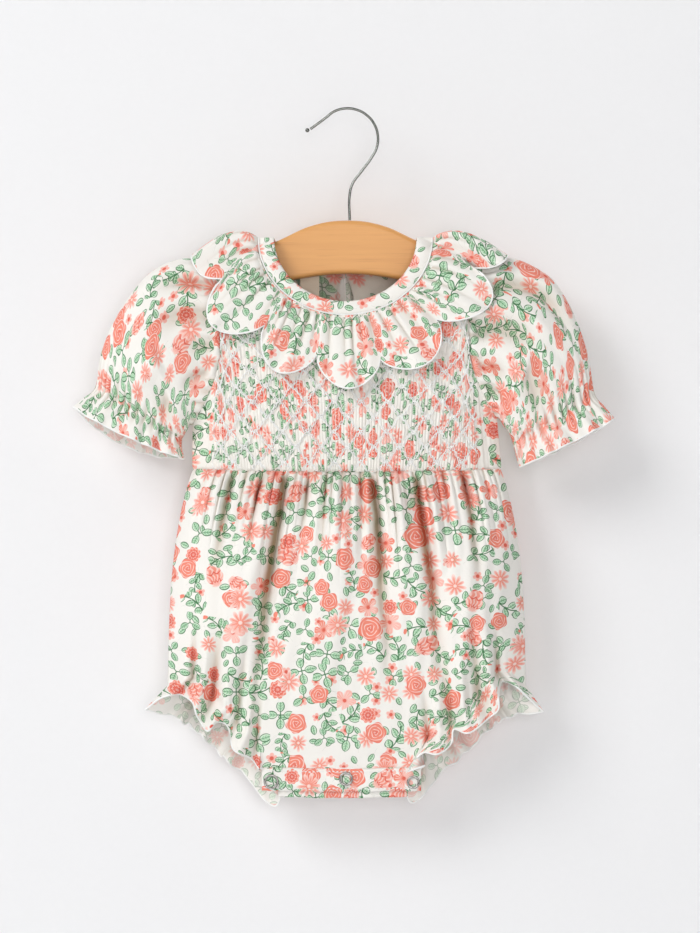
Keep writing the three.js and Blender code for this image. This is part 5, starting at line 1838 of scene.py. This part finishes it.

# %% [markdown]
# Muslin is matt and slightly crinkled. The crinkle is a fine bump, and a little light
# passes through the thin cloth. The sheet's own numbers say where the print shows between
# the pleats and where the cloth lies deep in a fold. In a fold the colour is multiplied by a
# warm grey, as painted shade, and on the smocked panel the print is painted darker as
# shade between the pleats.

# %% Cloth materials
CRINKLE = {"scale": 420, "strength": 0.35, "depth": 0.0006}
CLOTH_ROUGHNESS = 0.92
CLOTH_GLOSS = 0.25
# gamma that darkens the print of the smocked panel: painted shade between the pleats
SMOCK_PRINT_SHADE = 1.25


def sheet_number(tree, name):
    """A number that every point of a sheet carries."""
    node = tree.nodes.new("ShaderNodeAttribute")
    node.attribute_name = name
    return node.outputs["Fac"]


def cloth_material(name, print_share, smocked=False, through=0.06):
    material = bpy.data.materials.new(name)
    material.use_nodes = True
    tree = material.node_tree
    shader = tree.nodes["Principled BSDF"]
    shader.inputs["Roughness"].default_value = CLOTH_ROUGHNESS
    shader.inputs["Specular IOR Level"].default_value = CLOTH_GLOSS
    floral = tree.nodes.new("ShaderNodeGroup")
    floral.node_tree = FLORAL
    shown = print_share
    printed_colour = floral.outputs[0]
    if smocked:
        shown = sheet_number(tree, "printed")
        # painted shade: a gamma darkens the print on the smocked panel, in place of the shade between its
        # pleats
        shaded_print = tree.nodes.new("ShaderNodeGamma")
        shaded_print.inputs["Gamma"].default_value = SMOCK_PRINT_SHADE
        tree.links.new(floral.outputs[0], shaded_print.inputs["Color"])
        printed_colour = shaded_print.outputs[0]
    colour = blend(tree, shown, PAINT["ground"], printed_colour)
    # painted shade: the colour is multiplied by a warm grey where the sheet lies deep in a fold, gather or
    # crease
    colour = blend(tree, sheet_number(tree, "fold_shade"), colour, PAINT["fold"], "MULTIPLY")
    tree.links.new(colour, shader.inputs["Base Color"])
    crinkle = noise_at(tree, flat_cloth(tree), CRINKLE["scale"], 3)
    add_relief(tree, crinkle, CRINKLE["strength"], CRINKLE["depth"])
    glow = tree.nodes.new("ShaderNodeBsdfTranslucent")
    tree.links.new(colour, glow.inputs["Color"])
    both = tree.nodes.new("ShaderNodeMixShader")
    both.inputs["Fac"].default_value = through
    tree.links.new(shader.outputs[0], both.inputs[1])
    tree.links.new(glow.outputs[0], both.inputs[2])
    tree.links.new(both.outputs[0], tree.nodes["Material Output"].inputs["Surface"])
    return material


cloth_outside = cloth_material("printed muslin", 1.0)
cloth_smocked = cloth_material("smocked muslin", 1.0, smocked=True)
cloth_inside = cloth_material("inside of the muslin", 0.42)
cloth_lining = cloth_material("inside of the back", 0.65, through=0.65)
white_thread = grained_material(
    "white thread", paint(250, 250, 248), 0.85, scale=1400, spread=0.06, bump=0.5
)
print("cloth materials ready")

# %% [markdown]
# Each sheet wears the print outside and its faint reverse inside. Stitches and rolled
# edges are all of white thread.

# %% Dress the cloth
def dress(piece, outside, inside=None):
    while len(piece.data.materials) < (2 if inside else 1):
        piece.data.materials.append(None)
    piece.data.materials[0] = outside
    if inside:
        piece.data.materials[1] = inside


band_pieces = [neckband, placket_front, placket_back]
for piece in (collar, *band_pieces, *body_pieces.values(), *sleeve_pieces.values()):
    dress(piece, cloth_outside, cloth_inside)
dress(bodice_back, cloth_outside, cloth_lining)
dress(bodice_front, cloth_smocked)
thread_pieces = [lattice_threads, band_stitches, neck_seam, collar_roll]
thread_pieces += [*body_rolls.values(), *sleeve_rolls.values()]
for piece in thread_pieces:
    dress(piece, white_thread)
print("cloth dressed")

# %% [markdown]
# Beech shows a fine straight grain with short darker flecks. The hook and the snaps are
# bright metal, the button is pearly and the label is a bare twill tape.

# %% Materials of the hanger and the small parts
WOOD_GRAIN = {"stretch": (14, 90, 420), "scale": 1, "flecks": 2.6}
TWILL_SCALE = 700
BEECH = {"light": paint(224, 164, 99), "dark": paint(208, 145, 84), "fleck": paint(176, 116, 68)}
TWILL = {"low": paint(240, 224, 200), "high": paint(250, 240, 222)}


def wood_material():
    material = plain_material("satin beech", BEECH["light"], 0.42)
    tree = material.node_tree
    shader = tree.nodes["Principled BSDF"]
    shader.inputs["Specular IOR Level"].default_value = 0.4
    place = drawn_place(tree, WOOD_GRAIN["stretch"])
    share = Wire(tree, noise_at(tree, place, WOOD_GRAIN["scale"], 4)).under(0.5, 0.4)
    colour = blend(tree, share * 0.45, BEECH["light"], BEECH["dark"])
    fleck = Wire(tree, noise_at(tree, place, WOOD_GRAIN["flecks"])).under(0.36, 0.08)
    tree.links.new(blend(tree, fleck * 0.16, colour, BEECH["fleck"]), shader.inputs["Base Color"])
    return material


def label_material():
    material = plain_material("bare twill tape", TWILL["low"], 0.9)
    tree = material.node_tree
    shader = tree.nodes["Principled BSDF"]
    rib = tree.nodes.new("ShaderNodeTexWave")
    rib.bands_direction = "DIAGONAL"
    rib.inputs["Scale"].default_value = TWILL_SCALE
    tree.links.new(flat_cloth(tree), rib.inputs["Vector"])
    shade = blend(tree, rib.outputs["Fac"], TWILL["low"], TWILL["high"])
    tree.links.new(shade, shader.inputs["Base Color"])
    return material


beech = wood_material()
steel = grained_material("bright steel", paint(122, 124, 120), 0.2, 1.0, 500, (1, 1, 0.3), 0.15, 0.08)
snap_metal = grained_material("pressed metal", paint(158, 156, 152), 0.2, 1.0, 900, (1, 1, 1), 0.2, 0.12)
pearl = grained_material("pearl", paint(240, 236, 228), 0.2, 0.0, 260, (1, 1, 3), 0.1, 0.05)
tape = label_material()
dress(wood, beech)
dress(hook, steel)
dress(hook_ball, steel)
for piece in snap_pieces.values():
    dress(piece, snap_metal)
dress(button, pearl)
dress(loop, white_thread)
dress(label, tape, tape)
print("hard parts dressed")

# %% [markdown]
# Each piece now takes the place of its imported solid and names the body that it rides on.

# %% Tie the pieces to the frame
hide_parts("bodice_front")
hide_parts("bodice_back")
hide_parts("body_front")
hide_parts("body_back")
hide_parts("sleeve_left")
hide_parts("sleeve_right")
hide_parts("neckband")
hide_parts("collar_ruffle")
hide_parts("placket_front")
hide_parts("placket_back")
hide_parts("hanger_arch")
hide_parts("hook_wire")
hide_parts("hook_tip")
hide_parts("neck_label")
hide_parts("back_button")
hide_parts("back_loop")
for name, piece in snap_pieces.items():
    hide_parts("snap_" + name)
for piece in (wood, hook, hook_ball, label, button, loop, *snap_pieces.values()):
    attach(piece, "root")
cloth_pieces = [bodice_front, bodice_back, collar, *body_pieces.values(), *sleeve_pieces.values()]
for piece in cloth_pieces:
    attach(piece, "root")
for piece in band_pieces + thread_pieces:
    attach(piece, "root")
print("pieces tied:", len(cloth_pieces) + len(band_pieces) + len(thread_pieces))

# %% [markdown]
# Each sheet of cloth states the size it was cut to. The flat map of a sheet is its cut laid
# out on a table, so its width, its length and its area are read off that map.

# %% The cut of each sheet
def cut_of(piece):
    """Greatest width, greatest length and area of the flat cloth, in metres."""
    mesh = piece.data
    spots = np.zeros(len(mesh.loops) * 2, dtype=np.float32)
    mesh.uv_layers["flat_cloth"].uv.foreach_get("vector", spots)
    corners = spots.reshape(-1, 4, 2).astype(float)
    x, z = corners[..., 0], corners[..., 1]
    turned_x, turned_z = np.roll(x, -1, axis=1), np.roll(z, -1, axis=1)
    area = np.abs((x * turned_z - turned_x * z).sum(axis=1)).sum() / 2
    return np.ptp(x), np.ptp(z), area


def state_cut(piece, layers, strip=None):
    width, length, area = cut_of(piece)
    area = area / layers
    if strip is not None:
        width, length = strip
    print(piece.name, "cut:", round(width, 3), "by", round(length, 3), "m, area", round(area, 4))


state_cut(bodice_front, 1)
state_cut(bodice_back, 2)
state_cut(body_pieces["front"], 2)
state_cut(body_pieces["back"], 2)
state_cut(sleeve_pieces["left"], 2)
state_cut(sleeve_pieces["right"], 2)
state_cut(collar, 2)
bias_strip = (np.ptp(band_along) * MM, np.ptp(band_across) * MM)
state_cut(neckband, 2, bias_strip)
state_cut(placket_front, 2)
state_cut(placket_back, 2)
state_cut(label, 2)

# %% [markdown]
# A level camera with a long lens looks at the middle of the garment, as in the picture. It
# stands far back, so the garment is drawn almost without perspective.

# %% Camera
MM_ACROSS = 455
CAMERA_DISTANCE = 2.2
CAMERA_AIM = {"x": 1.6, "z": -231.7}
SENSOR = 36
camera_place = (CAMERA_AIM["x"] * MM, -CAMERA_DISTANCE, CAMERA_AIM["z"] * MM)
bpy.ops.object.camera_add(location=camera_place, rotation=(math.pi / 2, 0, 0))
camera = bpy.context.object
camera.data.sensor_fit = "HORIZONTAL"
camera.data.sensor_width = SENSOR
camera.data.lens = SENSOR * CAMERA_DISTANCE / (MM_ACROSS * MM)
bpy.context.scene.camera = camera
print("lens:", round(camera.data.lens), "mm")

# %% [markdown]
# A wide lamp from the upper left gives the soft shadows, a weak one near the camera fills
# them, and a third lights the back. The wall is paint from its front and clear from
# behind, so a look from behind still shows the garment.

# %% Light and backdrop
FLOOR = {"size": 12, "place": (0, 2, -0.9)}
WALL = {"size": 3.4, "place": (0, 0.04, -0.2)}
WORLD_LIGHT = 0.31
LIGHTS_AIM = (0, 0, -0.25)
LIGHTS = [
    {"location": (-2.1, -2.4, 1.65), "size": 1.8, "energy": 66},
    {"location": (0.3, -3.2, -0.1), "size": 1.2, "energy": 27},
    {"location": (0.9, 2.6, 1.2), "size": 1.6, "energy": 40},
]


def light_towards(target, settings):
    bpy.ops.object.light_add(type="AREA", location=settings["location"])
    light = bpy.context.object
    light.data.size = settings["size"]
    light.data.energy = settings["energy"]
    aim = np.array(target) - np.array(settings["location"])
    tilt = math.atan2(math.hypot(aim[0], aim[1]), -aim[2])
    light.rotation_euler = (tilt, 0, math.atan2(aim[1], aim[0]) - math.pi / 2)


bpy.ops.mesh.primitive_plane_add(size=FLOOR["size"], location=FLOOR["place"])
floor = bpy.context.object
floor.name = "pale_floor"
upright = (math.pi / 2, 0, 0)
bpy.ops.mesh.primitive_plane_add(size=WALL["size"], location=WALL["place"], rotation=upright)
wall = bpy.context.object
wall.name = "pale_wall"
wall.visible_shadow = False
pale = grained_material("pale paint", paint(237, 237, 238), 0.95, 0.0, 240, (1, 1, 1), 0.012, 0.03)
one_sided = pale.copy()
one_sided.name = "pale paint, seen from the front only"
wall_tree = one_sided.node_tree
side_of_wall = wall_tree.nodes.new("ShaderNodeNewGeometry")
clear = wall_tree.nodes.new("ShaderNodeBsdfTransparent")
either = wall_tree.nodes.new("ShaderNodeMixShader")
wall_tree.links.new(side_of_wall.outputs["Backfacing"], either.inputs["Fac"])
wall_tree.links.new(wall_tree.nodes["Principled BSDF"].outputs[0], either.inputs[1])
wall_tree.links.new(clear.outputs[0], either.inputs[2])
wall_tree.links.new(either.outputs[0], wall_tree.nodes["Material Output"].inputs["Surface"])
floor.data.materials.append(pale)
wall.data.materials.append(one_sided)
for settings in LIGHTS:
    light_towards(LIGHTS_AIM, settings)
world = bpy.data.worlds.new("studio")
world.use_nodes = True
world.node_tree.nodes["Background"].inputs["Color"].default_value = (1, 1, 1, 1)
world.node_tree.nodes["Background"].inputs["Strength"].default_value = WORLD_LIGHT
bpy.context.scene.world = world
bpy.context.scene.view_settings.view_transform = "Standard"
print("lamps:", len(LIGHTS), "and a pale room")

# %% [markdown]
# Last, a line notes that all the pieces are made.

# %% Finish the scene
print("all pieces made")
